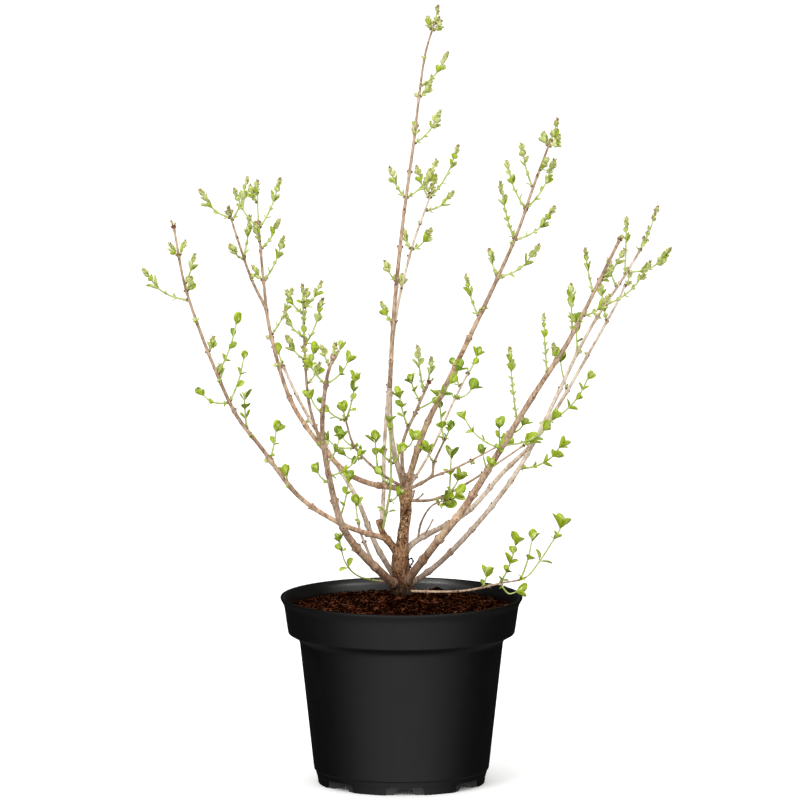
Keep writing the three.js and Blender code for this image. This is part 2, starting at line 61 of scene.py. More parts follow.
# Each softbox: where it stands, its width in metres and its power in watts.
SOFTBOXES = {
    "key_softbox": ((-1.6, -2.2, 2.4), 1.6, 46.0),
    "fill_softbox": ((2.2, -1.8, 1.6), 1.4, 15.0),
}


def linear(colour):
    """An sRGB hex colour as linear red, green, blue and alpha."""
    channels = [int(colour[i:i + 2], 16) / 255 for i in (1, 3, 5)]
    return [c / 12.92 if c <= 0.04045 else ((c + 0.055) / 1.055) ** 2.4 for c in channels] + [1.0]


def add(tree, kind, links, **settings):
    """Adds a node with its settings; links maps a socket to a value or to another socket."""
    node = tree.nodes.new(kind)
    for name, value in settings.items():
        setattr(node, name, value)
    for socket, source in links.items():
        if isinstance(source, bpy.types.NodeSocket):
            tree.links.new(source, node.inputs[socket])
        else:
            node.inputs[socket].default_value = source
    return node


def spread(tree, value, low, high, start=0.0, end=1.0, **settings):
    """A value carried from between low and high to between start and end."""
    links = {0: value, 1: low, 2: high, 3: start, 4: end}
    return add(tree, "ShaderNodeMapRange", links, **settings).outputs[0]


def work(tree, operation, *values, **settings):
    """The result of a mathematical operation on one to three values."""
    links = dict(enumerate(values))
    return add(tree, "ShaderNodeMath", links, operation=operation, **settings).outputs[0]


def between(tree, share, low, high):
    """The value that lies at a share of the way from low to high."""
    return add(tree, "ShaderNodeMix", {0: share, 2: low, 3: high}).outputs[0]


def new_material(name, roughness, ior=1.5, specular=0.5):
    """A material, its nodes and its shader, and the socket of the place on the object."""
    material = bpy.data.materials.new(name)
    material.use_nodes = True
    tree = material.node_tree
    shader = tree.nodes["Principled BSDF"]
    shader.inputs["Roughness"].default_value = roughness
    shader.inputs["IOR"].default_value = ior
    shader.inputs["Specular IOR Level"].default_value = specular
    return material, tree, shader, add(tree, "ShaderNodeTexCoord", {}).outputs["Object"]


class Parts:
    """The vertices, in millimetres, and the faces of the parts that make up one piece."""

    def __init__(self, vertices=(), faces=()):
        self.vertices, self.faces = list(vertices), list(faces)

    def skin(self, rings, tip=None, foot=None):
        """A closed part over rings of vertices. Each end is flat, or drawn to a point."""
        base, sides = len(self.vertices), len(rings[0])
        last = base + (len(rings) - 1) * sides
        self.vertices += [vertex for ring in rings for vertex in ring]
        self.faces += [(low + a, low + (a + 1) % sides, low + sides + (a + 1) % sides,
                        low + sides + a) for low in range(base, last, sides) for a in range(sides)]
        for ring, point in ((range(base + sides - 1, base - 1, -1), foot),
                            (range(last, last + sides), tip)):
            if point is None:
                self.faces.append(tuple(ring))
            else:
                top = len(self.vertices)
                self.faces += [(ring[a], ring[(a + 1) % sides], top) for a in range(sides)]
                self.vertices.append(point)

    def piece(self, name, material, slot=None, nodes=()):
        """The piece they make up; with a slot, it hangs on the root body and the CAD nodes it
        stands for are hidden.
        """
        mesh = bpy.data.meshes.new(name)
        mesh.from_pydata(MM * np.array(self.vertices, dtype=float), [], self.faces)
        mesh.materials.append(material)
        mesh.shade_smooth()
        piece = bpy.data.objects.new(name, mesh)
        bpy.context.scene.collection.objects.link(piece)
        if slot:
            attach(piece, "root")
            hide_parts(*nodes)
        return piece


def stand(name, data, place, heading):
    """Stands a light or the camera at a place, looking along a heading."""
    stood = bpy.data.objects.new(name, data)
    stood.location = place
    stood.rotation_mode = "QUATERNION"
    stood.rotation_quaternion = heading.to_track_quat("-Z", "Y")
    bpy.context.scene.collection.objects.link(stood)
    return stood


floor_paint, _, shader, _ = new_material("matt_studio_floor", 0.9, specular=0.0)
shader.inputs["Base Color"].default_value = linear(FLOOR_COLOUR)
corners = [(x * FLOOR_HALF / MM, y * FLOOR_HALF / MM, 0)
           for x, y in ((-1, -1), (1, -1), (1, 1), (-1, 1))]
floor = Parts(corners, [(0, 1, 2, 3)]).piece("floor", floor_paint)
floor.visible_glossy = False
floor.visible_diffuse = False

room = bpy.data.worlds.new("bright_room")
room.use_nodes = True
tree = room.node_tree
background = tree.nodes["Background"]
background.inputs["Color"].default_value = (1.0, 1.0, 1.0, 1.0)
direction = add(tree, "ShaderNodeTexCoord", {}).outputs["Generated"]
way = add(tree, "ShaderNodeSeparateXYZ", {0: direction}).outputs
flagged = spread(tree, work(tree, "ABSOLUTE", way["X"]), 0.35, 0.9, ROOM_STRENGTH, SIDE_STRENGTH)
rise = spread(tree, way["Z"], -0.6, 0.35, FROM_BELOW, 1.0)
soft = work(tree, "MULTIPLY", flagged, rise)
glow = spread(tree, way["Z"], -0.85, -0.45, GLOSS_FLOOR, 0.0)
front = spread(tree, way["Y"], -1.0, 0.0, GLOSS_FRONT, GLOSS_SIDE, interpolation_type="SMOOTHSTEP")
gloss = work(tree, "ADD", front, glow)
ray = add(tree, "ShaderNodeLightPath", {}).outputs
lit = between(tree, ray["Is Glossy Ray"], soft, gloss)
tree.links.new(between(tree, ray["Is Camera Ray"], lit, 1.0), background.inputs["Strength"])
bpy.context.scene.world = room

for name, (place, width, power) in SOFTBOXES.items():
    light = bpy.data.lights.new(name, "AREA")
    light.shape = "SQUARE"
    light.size = width
    light.energy = power
    stand(name, light, place, VIEW_TARGET - Vector(place))

camera = bpy.data.cameras.new("camera")
camera.sensor_width = SENSOR_WIDTH
camera.lens = SENSOR_WIDTH * VIEW_DISTANCE / VIEW_WIDTH
towards = Vector((0.0, -cos(VIEW_ELEVATION), sin(VIEW_ELEVATION)))
bpy.context.scene.camera = stand("camera", camera, VIEW_TARGET + VIEW_DISTANCE * towards, -towards)
bpy.context.scene.view_settings.view_transform = "Standard"

# ---- Nursery pot ----
# A round black pot of thin polypropylene, moulded in one piece: a deep collar stiffens its
# rim, and it stands on a foot ring with seven notches that let water out from underneath.

RIM_RADIUS = 115.0
POT_HEIGHT = 178.5
FOOT_RADIUS = 79.0
FLOOR_UNDERSIDE = 8.0
FLOOR_TOP = 10.4
# Radius, height and how far each corner is rounded, from the middle of the underside out
# and up to the rim, then down the inside.
POT_PROFILE = [
    (0, 0, 0), (40, 0, 0.4), (40, FLOOR_UNDERSIDE, 0.4), (70, FLOOR_UNDERSIDE, 0.4), (70, 0, 0.4),
    (FOOT_RADIUS, 0, 0.5), (79.7, 5.4, 2), (80.8, 9, 1.5), (81.7, 12.7, 0.3), (83.0, 13.8, 0.5),
    (83.8, 20, 4), (96.9, 138.2, 5), (107.5, 144.1, 0.6), (108.1, 147.5, 3), (111.4, 170.5, 4),
    (114.4, 175.7, 1.5), (RIM_RADIUS - 0.05, 176.8, 0.7), (RIM_RADIUS - 0.3, POT_HEIGHT, 0.6),
    (112.3, POT_HEIGHT, 0.7), (109.5, 174, 2), (105.5, 145.4, 4), (102.4, 141.4, 3),
    (95, 137.6, 1), (80.9, 15, 4), (76, FLOOR_TOP, 4), (0, FLOOR_TOP, 0),
]
CORNER_STEPS = 5
EDGE_RADIUS = 0.35  # of every moulded edge
NOTCHES = 7
FIRST_NOTCH = -87.5  # degrees from +X, a little right of the front
NOTCH_WIDTH = 37.0
NOTCH_HEIGHT = 8.0
NOTCH_DEPTH = 4.0
NOTCH_CORNER = 3.0
ARCH_WIDTH = (26.0, 15.0)  # of the opening behind each notch, at the ground and at its top
DRAIN_RADIUS = 5.0
DRAIN_CIRCLE = 56.0
DRAIN_CUT = (2.0, 16.0)  # from below the floor of the pot to above it
ARCH_RADIUS = 60.0  # where the arches start, inside the foot ring
CUT_RADIUS = 90.0  # where all the openings end, outside it
POT_SEGMENTS = 28 * NOTCHES


def tint(tree, share, *ends):
    """The colour that lies at a share of the way between two sockets or hex colours."""
    low, high = (linear(end) if isinstance(end, str) else end for end in ends)
    return add(tree, "ShaderNodeMix", {0: share, 6: low, 7: high}, data_type="RGBA").outputs[2]


def mottle(tree, place, size, detail=2.0, roughness=0.5):
    """Cloudy noise in patches about a size in millimetres wide."""
    links = {"Vector": place, "Scale": 1 / (MM * size), "Detail": detail, "Roughness": roughness}
    return add(tree, "ShaderNodeTexNoise", links).outputs["Fac"]


def coat(tree, shader, colour, height, strength, depth, invert=False):
    """Gives a shader its colour, and a relief whose pattern stands up by a depth."""
    tree.links.new(colour, shader.inputs["Base Color"])
    links = {"Height": height, "Strength": strength, "Distance": MM * depth}
    relief = add(tree, "ShaderNodeBump", links, invert=invert)
    tree.links.new(relief.outputs[0], shader.inputs["Normal"])


def circle(sides):
    return [2 * pi * k / sides for k in range(sides)]


def rounded(profile):
    """The profile with an arc-like curve in place of each corner."""
    points = []
    for i, (r, z, size) in enumerate(profile):
        corner = Vector((r, z))
        if size == 0:
            points.append(corner)
            continue
        ends = []
        for other in (profile[i - 1], profile[i + 1]):
            way = Vector(other[:2]) - corner
            ends.append(corner + way.normalized() * min(size, 0.45 * way.length))
        for k in range(CORNER_STEPS + 1):
            t = k / CORNER_STEPS
            points.append((1 - t) ** 2 * ends[0] + 2 * t * (1 - t) * corner + t ** 2 * ends[1])
    return points


def lathe(profile, segments):
    """A form turned about the upright axis from a profile that starts and ends on it."""
    form = Parts()
    form.skin([[(r * cos(angle), r * sin(angle), z) for angle in circle(segments)]
               for r, z in profile[1:-1]], (0, 0, profile[-1][1]), (0, 0, profile[0][1]))
    return form


def opening(low, high, height, inner, turn):
    """Two outlines of a block that opens the foot ring: wider at the ground, its top corners
    rounded."""
    outline = [(-low / 2, -2), (low / 2, -2)]
    for side in (1, -1):
        for k in range(5):
            angle = pi / 2 * (k / 4 if side > 0 else 1 - k / 4)
            outline.append((side * (high / 2 - NOTCH_CORNER * (1 - cos(angle))),
                            height - NOTCH_CORNER * (1 - sin(angle))))
    return [[(radius * cos(turn) - across * sin(turn), radius * sin(turn) + across * cos(turn), z)
             for across, z in outline] for radius in (inner, CUT_RADIUS)]


def drain(turn):
    """Two outlines of a round block for a drain hole in the floor of the pot."""
    return [[(DRAIN_CIRCLE * cos(turn) + DRAIN_RADIUS * cos(angle),
              DRAIN_CIRCLE * sin(turn) + DRAIN_RADIUS * sin(angle), z) for angle in circle(20)]
            for z in DRAIN_CUT]


def apply_modifiers(piece):
    graph = bpy.context.evaluated_depsgraph_get()
    mesh = bpy.data.meshes.new_from_object(piece.evaluated_get(graph))
    piece.modifiers.clear()
    piece.data = mesh


def cut(piece, blocks):
    """Cuts closed blocks out of a piece."""
    cutter = Parts()
    for outlines in blocks:
        cutter.skin(outlines)
    tool = cutter.piece("cutter", piece.active_material)
    tool.data.shade_flat()
    boolean = piece.modifiers.new("cut", "BOOLEAN")
    boolean.object = tool
    boolean.solver = "EXACT"
    apply_modifiers(piece)
    bpy.data.objects.remove(tool)


# Black polypropylene, moulded: a satin skin with a fine even grain, a few faint flow streaks
# up the wall and a little dust, which keep the black from looking flat. The inside, which
# shrank on to the polished core of the mould, is glossier. The recessed walls of the notches
# in the foot carry painted light: they are painted a lighter grey, as if lit.
GRAIN_MM = 0.7
STREAK_MM = 9.0
DUST_MM = 28.0
SATIN, POLISH = 0.2, 0.85  # how strongly the outside and the inside reflect
moulded_plastic, tree, shader, spot = new_material("moulded_black_polypropylene", 0.46, 1.49, SATIN)
upright = add(tree, "ShaderNodeMapping", {"Vector": spot, "Scale": (1.0, 1.0, 0.12)}).outputs[0]
streaks = spread(tree, mottle(tree, upright, STREAK_MM, 3.0), 0.0, 1.0, 0.4, 0.54)
dust = spread(tree, mottle(tree, spot, DUST_MM, 6.0, 0.7), 0.4, 0.8)
black = tint(tree, dust, "#060606", "#0b0b0b")
skin = add(tree, "ShaderNodeNewGeometry", {}).outputs
level = add(tree, "ShaderNodeVectorMath", {0: skin["Position"], 1: (1.0, 1.0, 0.0)},
            operation="MULTIPLY").outputs[0]
radius = add(tree, "ShaderNodeVectorMath", {0: level}, operation="LENGTH").outputs["Value"]
outward = add(tree, "ShaderNodeVectorMath", {0: level, 1: skin["Normal"]},
              operation="DOT_PRODUCT").outputs["Value"]
height = add(tree, "ShaderNodeSeparateXYZ", {0: skin["Position"]}).outputs["Z"]
low = work(tree, "LESS_THAN", height, MM * (NOTCH_HEIGHT + 0.4))
sunk = work(tree, "LESS_THAN", radius, MM * (FOOT_RADIUS - 1.7))
# Painted light: the recessed walls of the notches in the foot are painted a lighter grey, as if
# they caught the light.
notch_painted_light = tint(tree, work(tree, "MULTIPLY", low, sunk), black, "#303030")
inside = spread(tree, outward, -0.04, -0.02, 1.0, 0.0)
tree.links.new(between(tree, inside, streaks, 0.3), shader.inputs["Roughness"])
tree.links.new(between(tree, inside, SATIN, POLISH), shader.inputs["Specular IOR Level"])
coat(tree, shader, notch_painted_light, mottle(tree, spot, GRAIN_MM), 0.12, 0.1)

pot = lathe(rounded(POT_PROFILE), POT_SEGMENTS).piece("nursery_pot", moulded_plastic,
                                                      "black_plastic", ["pot"])
turns = [radians(FIRST_NOTCH + 360 / NOTCHES * i) for i in range(NOTCHES)]
cut(pot, [opening(NOTCH_WIDTH, NOTCH_WIDTH, NOTCH_HEIGHT, FOOT_RADIUS - NOTCH_DEPTH, turn)
          for turn in turns])
cut(pot, [opening(*ARCH_WIDTH, NOTCH_HEIGHT - 1, ARCH_RADIUS, turn) for turn in turns]
    + [drain(turn) for turn in turns])
edges = pot.modifiers.new("edges", "BEVEL")
edges.width = MM * EDGE_RADIUS
edges.segments = 2
edges.limit_method = "ANGLE"
edges.angle_limit = radians(50)
edges.harden_normals = True
apply_modifiers(pot)

# ---- Potting soil ----
# Moist peat with shredded bark and coir, heaped a little round the trunk. The heap fills the
# pot, and loose chips and fibres lie all over its top.

TRUNK_FOOT = (1.0, 15.0, 178.0)
SOIL_EDGE = 107.9
SOIL_WALL = [(78.5, FLOOR_TOP + 0.6), (93.5, 138.6), (103.8, 145.8), (SOIL_EDGE, 163)]
# Radius and height of the top of the heap.
HEAP = [(0, 178.2), (20, 177), (40, 173.5), (62, 170.5), (88, 168), (SOIL_EDGE, 165.6)]
# Clods that stand out of the heap: x, y, height and radius.
CLODS = [(34, 82, 5.5, 13), (-58, 60, 2.5, 14), (70, -20, 2.2, 12), (-80, -10, 2.5, 12),
         (16, -62, 2, 16), (-34, -48, 2.2, 10), (58, 52, 2.4, 12)]
LUMPS = [(15.0, 1.5), (6.0, 1.2), (2.4, 0.7)]  # width and height of the lumps in the heap,
SHORE = (110.0, 8.0)  # which die out towards this radius, over this width
LITTER_EDGE = 105.5  # chips and fibres lie inside it,
TRUNK_ROOM = 9.0  # and this far from the middle of the trunk
SOIL_RINGS = 84
SOIL_SPOKES = 230
PEAT_CRUMB_MM = 1.8
PEAT_PATCH_MM = 16.0
# Shredded bark, from wet dark chips to dry red-brown ones: seed, number and colours.
CHIP_KINDS = {
    "wet_bark_chips": (11, 3500, "#0a0301", "#180703"),
    "damp_bark_chips": (12, 1000, "#140501", "#260e07"),
    "dry_bark_chips": (13, 130, "#402012", "#7c4d36"),
}
CHIP_SIZES = ((1.6, 6.5), (0.9, 2.6), (0.4, 1.1))  # length, width and thickness, from and to
CHIP_TILT = radians(38)
CHIP_PATCH_MM = 5.0
BLOCK_FACES = [(0, 2, 3, 1), (4, 5, 7, 6), (0, 1, 5, 4), (2, 6, 7, 3), (0, 4, 6, 2), (1, 3, 7, 5)]
FIBRES = 1500
FIBRE_LENGTHS = (5.0, 17.0)
FIBRE_RADIUS = 0.26
FIBRE_TILT = radians(30)
FIBRE_RINGS = 6


def heap_height(x, y):
    radius = hypot(x, y)
    height = float(np.interp(radius, *zip(*HEAP)))
    for cx, cy, rise, width in CLODS:
        height += rise * exp(-((x - cx) ** 2 + (y - cy) ** 2) / (width / 1.6) ** 2)
    shore = min(1.0, (SHORE[0] - radius) / SHORE[1])
    for width, rise in LUMPS:
        height += rise * shore * noise.noise(Vector((x / width, y / width, width)))
    return height


def mottled_material(name, dark, light, patch, roughness, ior=1.42, specular=0.3, detail=2.0,
                     span=(0.36, 0.64), relief=(0.3, 0.2)):
    """A dull skin that shades from one colour to another in patches, which also stand up."""
    material, tree, shader, spot = new_material(name, roughness, ior, specular)
    patches = mottle(tree, spot, patch, detail)
    coat(tree, shader, tint(tree, spread(tree, patches, *span), dark, light), patches, *relief)
    return material


def dead_bark(name, dark, light):
    """Dead bark, dull and splintered, with a finer mottle that stands up more."""
    return mottled_material(name, dark, light, CHIP_PATCH_MM, 0.85, ior=1.5, specular=0.0,
                            detail=3.0, span=(0.35, 0.65), relief=(0.5, 0.3))


def spot_on_heap(draw):
    """A random place on the heap, outside the foot of the trunk."""
    while True:
        radius, angle = LITTER_EDGE * sqrt(draw.random()), draw.uniform(0, 2 * pi)
        x, y = radius * cos(angle), radius * sin(angle)
        if hypot(x - TRUNK_FOOT[0], y - TRUNK_FOOT[1]) > TRUNK_ROOM:
            return Vector((x, y, heap_height(x, y)))


def random_turn(draw, most_tilt):
    """Three square directions: one lies nearly flat, tilted by no more than most_tilt."""
    along = draw.uniform(0, 2 * pi)
    forward = Vector((cos(along), sin(along), tan(draw.uniform(-1, 1) * most_tilt)))
    forward.normalize()
    side = forward.cross(Vector((0, 0, 1))).normalized()
    up = side.cross(forward)
    roll = draw.uniform(-1, 1) * most_tilt
    return (forward, side * cos(roll) + up * sin(roll),
            up * cos(roll) - side * sin(roll))


# Peat: nearly black where it is moist, red-brown where shreds of bark show in it.
peat, tree, shader, spot = new_material("moist_peat", 0.93, specular=0.0)
crumbs = mottle(tree, spot, PEAT_CRUMB_MM, 5.0)
both = work(tree, "MULTIPLY", crumbs, mottle(tree, spot, PEAT_PATCH_MM))
browns = tint(tree, spread(tree, both, 0.16, 0.38), "#070201", "#180703")
coat(tree, shader, browns, crumbs, 0.8, 0.8)

# The top of the profile lies at 0, and is then lifted to the height of the heap.
heap_profile = [(0, SOIL_WALL[0][1]), *SOIL_WALL]
heap_profile += [(SOIL_EDGE * (1 - k / SOIL_RINGS), 0) for k in range(SOIL_RINGS)] + [(0, 0)]
heap = lathe(heap_profile, SOIL_SPOKES)
heap.vertices = [(x, y, z or heap_height(x, y)) for x, y, z in heap.vertices]
heap.piece("soil_heap", peat, "potting_soil", ["potting_soil"])

for name, (seed, count, dark, light) in CHIP_KINDS.items():
    draw, chips = random.Random(seed), Parts()
    for _ in range(count):
        centre = spot_on_heap(draw)
        axes = random_turn(draw, CHIP_TILT)
        size = [0.5 * draw.uniform(*span) for span in CHIP_SIZES]
        centre.z += 0.6 * size[2] + draw.uniform(-0.3, 0.7)
        chips.faces += [tuple(len(chips.vertices) + i for i in face) for face in BLOCK_FACES]
        for signs in product((-1, 1), repeat=3):
            ragged = [sign * half * draw.uniform(0.55, 1.15) for sign, half in zip(signs, size)]
            chips.vertices.append(sum((r * axis for r, axis in zip(ragged, axes)), centre))
    bark = dead_bark("shredded_" + name, dark, light)
    chips.piece(name, bark, "potting_soil", ["potting_soil"]).data.shade_flat()

# Coir: thin bent fibres, paler than the peat, that catch the light.
draw, fibres = random.Random(21), Parts()
for _ in range(FIBRES):
    start = spot_on_heap(draw)
    forward, side, up = random_turn(draw, FIBRE_TILT)
    length, bend = draw.uniform(*FIBRE_LENGTHS), draw.uniform(-0.5, 0.5)
    radius = FIBRE_RADIUS * draw.uniform(0.6, 1.3)
    rings = []
    for k in range(FIBRE_RINGS):
        t = k / (FIBRE_RINGS - 1) - 0.5
        point = start + forward * (t * length) + side * (bend * length * (t * t - 0.12))
        point *= min(1.0, SOIL_EDGE / hypot(point.x, point.y))
        point.z = heap_height(point.x, point.y) + 0.5 + 1.6 * abs(t) * draw.random()
        rings.append([point + radius * (side * cos(angle) + up * sin(angle))
                      for angle in (0, 2.1, 4.2)])
    fibres.skin(rings)
coir = dead_bark("coir_fibre", "#3c1c10", "#6e412a")
fibres.piece("coir_fibres", coir, "potting_soil", ["potting_soil"])

# ---- Trunk ----
# The short trunk of a young lilac, cut back once: a knotted column that flares at the soil and
# swells where its branches part. Its bark is rough, brown and finely split lengthwise.

UP = Vector((0, 0, 1))
BACK = Vector((0, 1, 0))
TRUNK_PATH = [TRUNK_FOOT, (-1, 14, 211), (1, 13, 231), (4, 13, 255), (3, 13, 283)]
# Radius at each share of the height: flare, thick foot, waist, and the knuckle at the fork.
TRUNK_GIRTH = [(0, 11), (0.1, 8.9), (0.35, 8.2), (0.46, 5.9), (0.62, 5.1), (0.84, 5.5),
               (0.94, 7), (1, 4.6)]
FLARE_LOBES = 5
TRUNK_DEPTH = 3.0  # of its foot in the heap
TRUNK_SIDES = 56
TRUNK_STEP = 0.9
# Knots where twigs were shed: how far up, how far round in degrees, size and how far out.
KNOTS = [(14, 260, 5, 1.3), (30, 300, 4, 1.1), (38, 225, 4.5, 1.4), (52, 285, 3.2, 1.0),
         (63, 240, 2.6, 0.9), (70, 310, 3, 1.0), (84, 262, 3.6, 1.1), (91, 300, 3.4, 1.2),
         (46, 120, 4, 1.2), (74, 60, 3, 1.0), (26, 30, 4, 1.2), (96, 215, 3, 1.1)]
BARK_PATCH_MM = 16.0
BARK_PORE_MM = 1.8
DAMP_HEIGHTS = (MM * 180, MM * 250)  # bark is damp below the first and dry above the second
ALGAE_HEIGHTS = (MM * 187, MM * 196)
ALGAE_RAGGED = MM * 9  # how far the edge of the algae wanders


def mix(low, high, share):
    return low + (high - low) * share


def smooth(low, high, value):
    share = min(max((value - low) / (high - low), 0.0), 1.0)
    return share * share * (3 - 2 * share)


class Route:
    """A smooth curve through a few points, measured in millimetres from its foot."""

    DIVISIONS = 200

    def __init__(self, points):
        self.points = [Vector(point) for point in points]
        samples = [self.curve(k / self.DIVISIONS) for k in range(self.DIVISIONS + 1)]
        steps = [(b - a).length for a, b in zip(samples, samples[1:])]
        self.reach = np.concatenate([[0.0], np.cumsum(steps)])
        self.length = float(self.reach[-1])

    def curve(self, t):
        points, last = self.points, len(self.points) - 1
        i = min(int(last * t), last - 1)
        w = last * t - i
        before = points[i - 1] if i > 0 else 2 * points[0] - points[1]
        after = points[i + 2] if i + 2 <= last else 2 * points[last] - points[last - 1]
        start, end = 0.5 * (points[i + 1] - before), 0.5 * (after - points[i])
        a, b = points[i], points[i + 1]
        return (a + start * w + (3 * (b - a) - 2 * start - end) * w ** 2
                + (2 * (a - b) + start + end) * w ** 3)

    def along(self, s):
        k = min(max(int(np.searchsorted(self.reach, s)), 1), self.DIVISIONS)
        low, high = self.reach[k - 1], self.reach[k]
        return min(max((k - 1 + (s - low) / (high - low)) / self.DIVISIONS, 0.0), 1.0)

    def at(self, s):
        return self.curve(self.along(s))

    def heading(self, s):
        t = self.along(s)
        return (self.curve(min(t + 1e-4, 1.0)) - self.curve(max(t - 1e-4, 0.0))).normalized()


def turned(heading, degrees):
    """A direction square to a heading: 0 lies towards +X and 90 to the back."""
    right = BACK.cross(heading).normalized()
    back = heading.cross(right)
    return right * cos(radians(degrees)) + back * sin(radians(degrees))


def leant(heading, side, degrees):
    """A direction that leans from a heading towards a side."""
    return heading * cos(radians(degrees)) + side * sin(radians(degrees))


class Growth(Parts):
    """Many small woody parts that are joined into one piece."""

    def tube(self, route, start, end, radius_at, sides, step):
        """A tube along a route. radius_at takes a distance and an angle."""
        rings, count = [], max(2, round((end - start) / step))
        for k in range(count + 1):
            s = mix(start, end, k / count)
            middle, heading = route.at(s), route.heading(s)
            right = BACK.cross(heading).normalized()
            back = heading.cross(right)
            around = [(angle, radius_at(s, angle)) for angle in circle(sides)]
            rings.append([middle + right * (radius * cos(angle)) + back * (radius * sin(angle))
                          for angle, radius in around])
        self.skin(rings)

    def stalk(self, foot, tip, radius):
        """A short straight stalk with four sides."""
        heading = (tip - foot).normalized()
        self.skin([[end + turned(heading, turn) * radius for turn in (0, 90, 180, 270)]
                   for end in (foot, tip)])

    def bud(self, foot, out, across, length, width):
        """A small pointed egg that stands on its foot."""
        normal = out.cross(across).normalized()
        spokes = [across * cos(angle) + 0.8 * normal * sin(angle) for angle in circle(6)]
        rings = [[foot + out * (share * length) + spoke * (0.5 * girth * width) for spoke in spokes]
                 for share, girth in ((0, 0.5), (0.25, 0.95), (0.55, 0.85), (0.8, 0.5))]
        self.skin(rings, foot + out * length)


trunk_route = Route(TRUNK_PATH)


def trunk_radius(s, angle):
    share = min(max(s / trunk_route.length, 0.0), 1.0)
    lobes = 0.14 * cos(FLARE_LOBES * (pi / 2 - angle)) * (1 - share) ** 6
    radius = float(np.interp(share, *zip(*TRUNK_GIRTH))) * (1 + lobes)
    for up, turn, size, rise in KNOTS:
        away = (angle - radians(turn) + pi) % (2 * pi) - pi
        far = hypot(s - up, away * radius) / (0.6 * size)
        radius += rise * exp(-far * far) * (1 - 0.7 * exp(-(2.2 * far) ** 2))
    x, y = 9 * cos(angle), 9 * sin(angle)
    radius += 0.8 * noise.noise(Vector((x / 7, y / 7, s / 11)))
    ridge = noise.noise(Vector((x / 1.7, y / 1.7, s / 9 + 20)))
    flake = noise.noise(Vector((x / 1.1, y / 1.1, s / 2.2 + 50)))
    return radius + 0.7 * (0.35 - abs(ridge)) + 0.32 * flake


def wood_material(name, dark, light, fleck, flake=2.2, stretch=0.3, flecks=0.0, depth=0.3,
                  damp_share=0.75):
    """Lilac bark: two browns in lengthwise flakes, with pale flecks where it has scaled, darker
    and damper near the soil and almost black with algae where it touches it."""
    material, tree, shader, spot = new_material(name, 0.8, specular=0.1)
    grain = add(tree, "ShaderNodeMapping", {"Vector": spot, "Scale": (1, 1, stretch)}).outputs[0]
    flakes = mottle(tree, grain, flake, 6.0, 0.65)
    patchy = work(tree, "MULTIPLY_ADD", mottle(tree, spot, BARK_PATCH_MM), 0.5, flakes)
    shade = spread(tree, patchy, 0.61, 0.89)
    pale = spread(tree, mottle(tree, spot, BARK_PORE_MM), 0.66 - flecks, 0.76 - flecks)
    flecked = tint(tree, pale, tint(tree, shade, dark, light), fleck)
    height = add(tree, "ShaderNodeSeparateXYZ", {0: spot}).outputs["Z"]
    damped = tint(tree, spread(tree, height, *DAMP_HEIGHTS, damp_share, 0.0), flecked, "#4b2615")
    ragged = work(tree, "MULTIPLY_ADD", shade, ALGAE_RAGGED, height)
    algae = spread(tree, ragged, *ALGAE_HEIGHTS, 0.9 if damp_share else 0.0, 0.0)
    coat(tree, shader, tint(tree, algae, damped, "#1b170d"), flakes, 0.7, depth)
    return material


old_bark = wood_material("old_lilac_bark", "#3f1e0e", "#cb9e74", "#ecd0ae", flake=1.7,
                         stretch=0.6, flecks=0.07, depth=1.2, damp_share=0.85)
trunk = Growth()
trunk.tube(trunk_route, -TRUNK_DEPTH, trunk_route.length, trunk_radius, TRUNK_SIDES, TRUNK_STEP)
trunk.piece("trunk_bark", old_bark, "bark", ["trunk"])

# ---- Canes ----
# One to three year old shoots that fan out of the trunk: slender, slightly zigzag, with smooth
# tan bark and a swollen joint every few centimetres that carries a pair of buds.

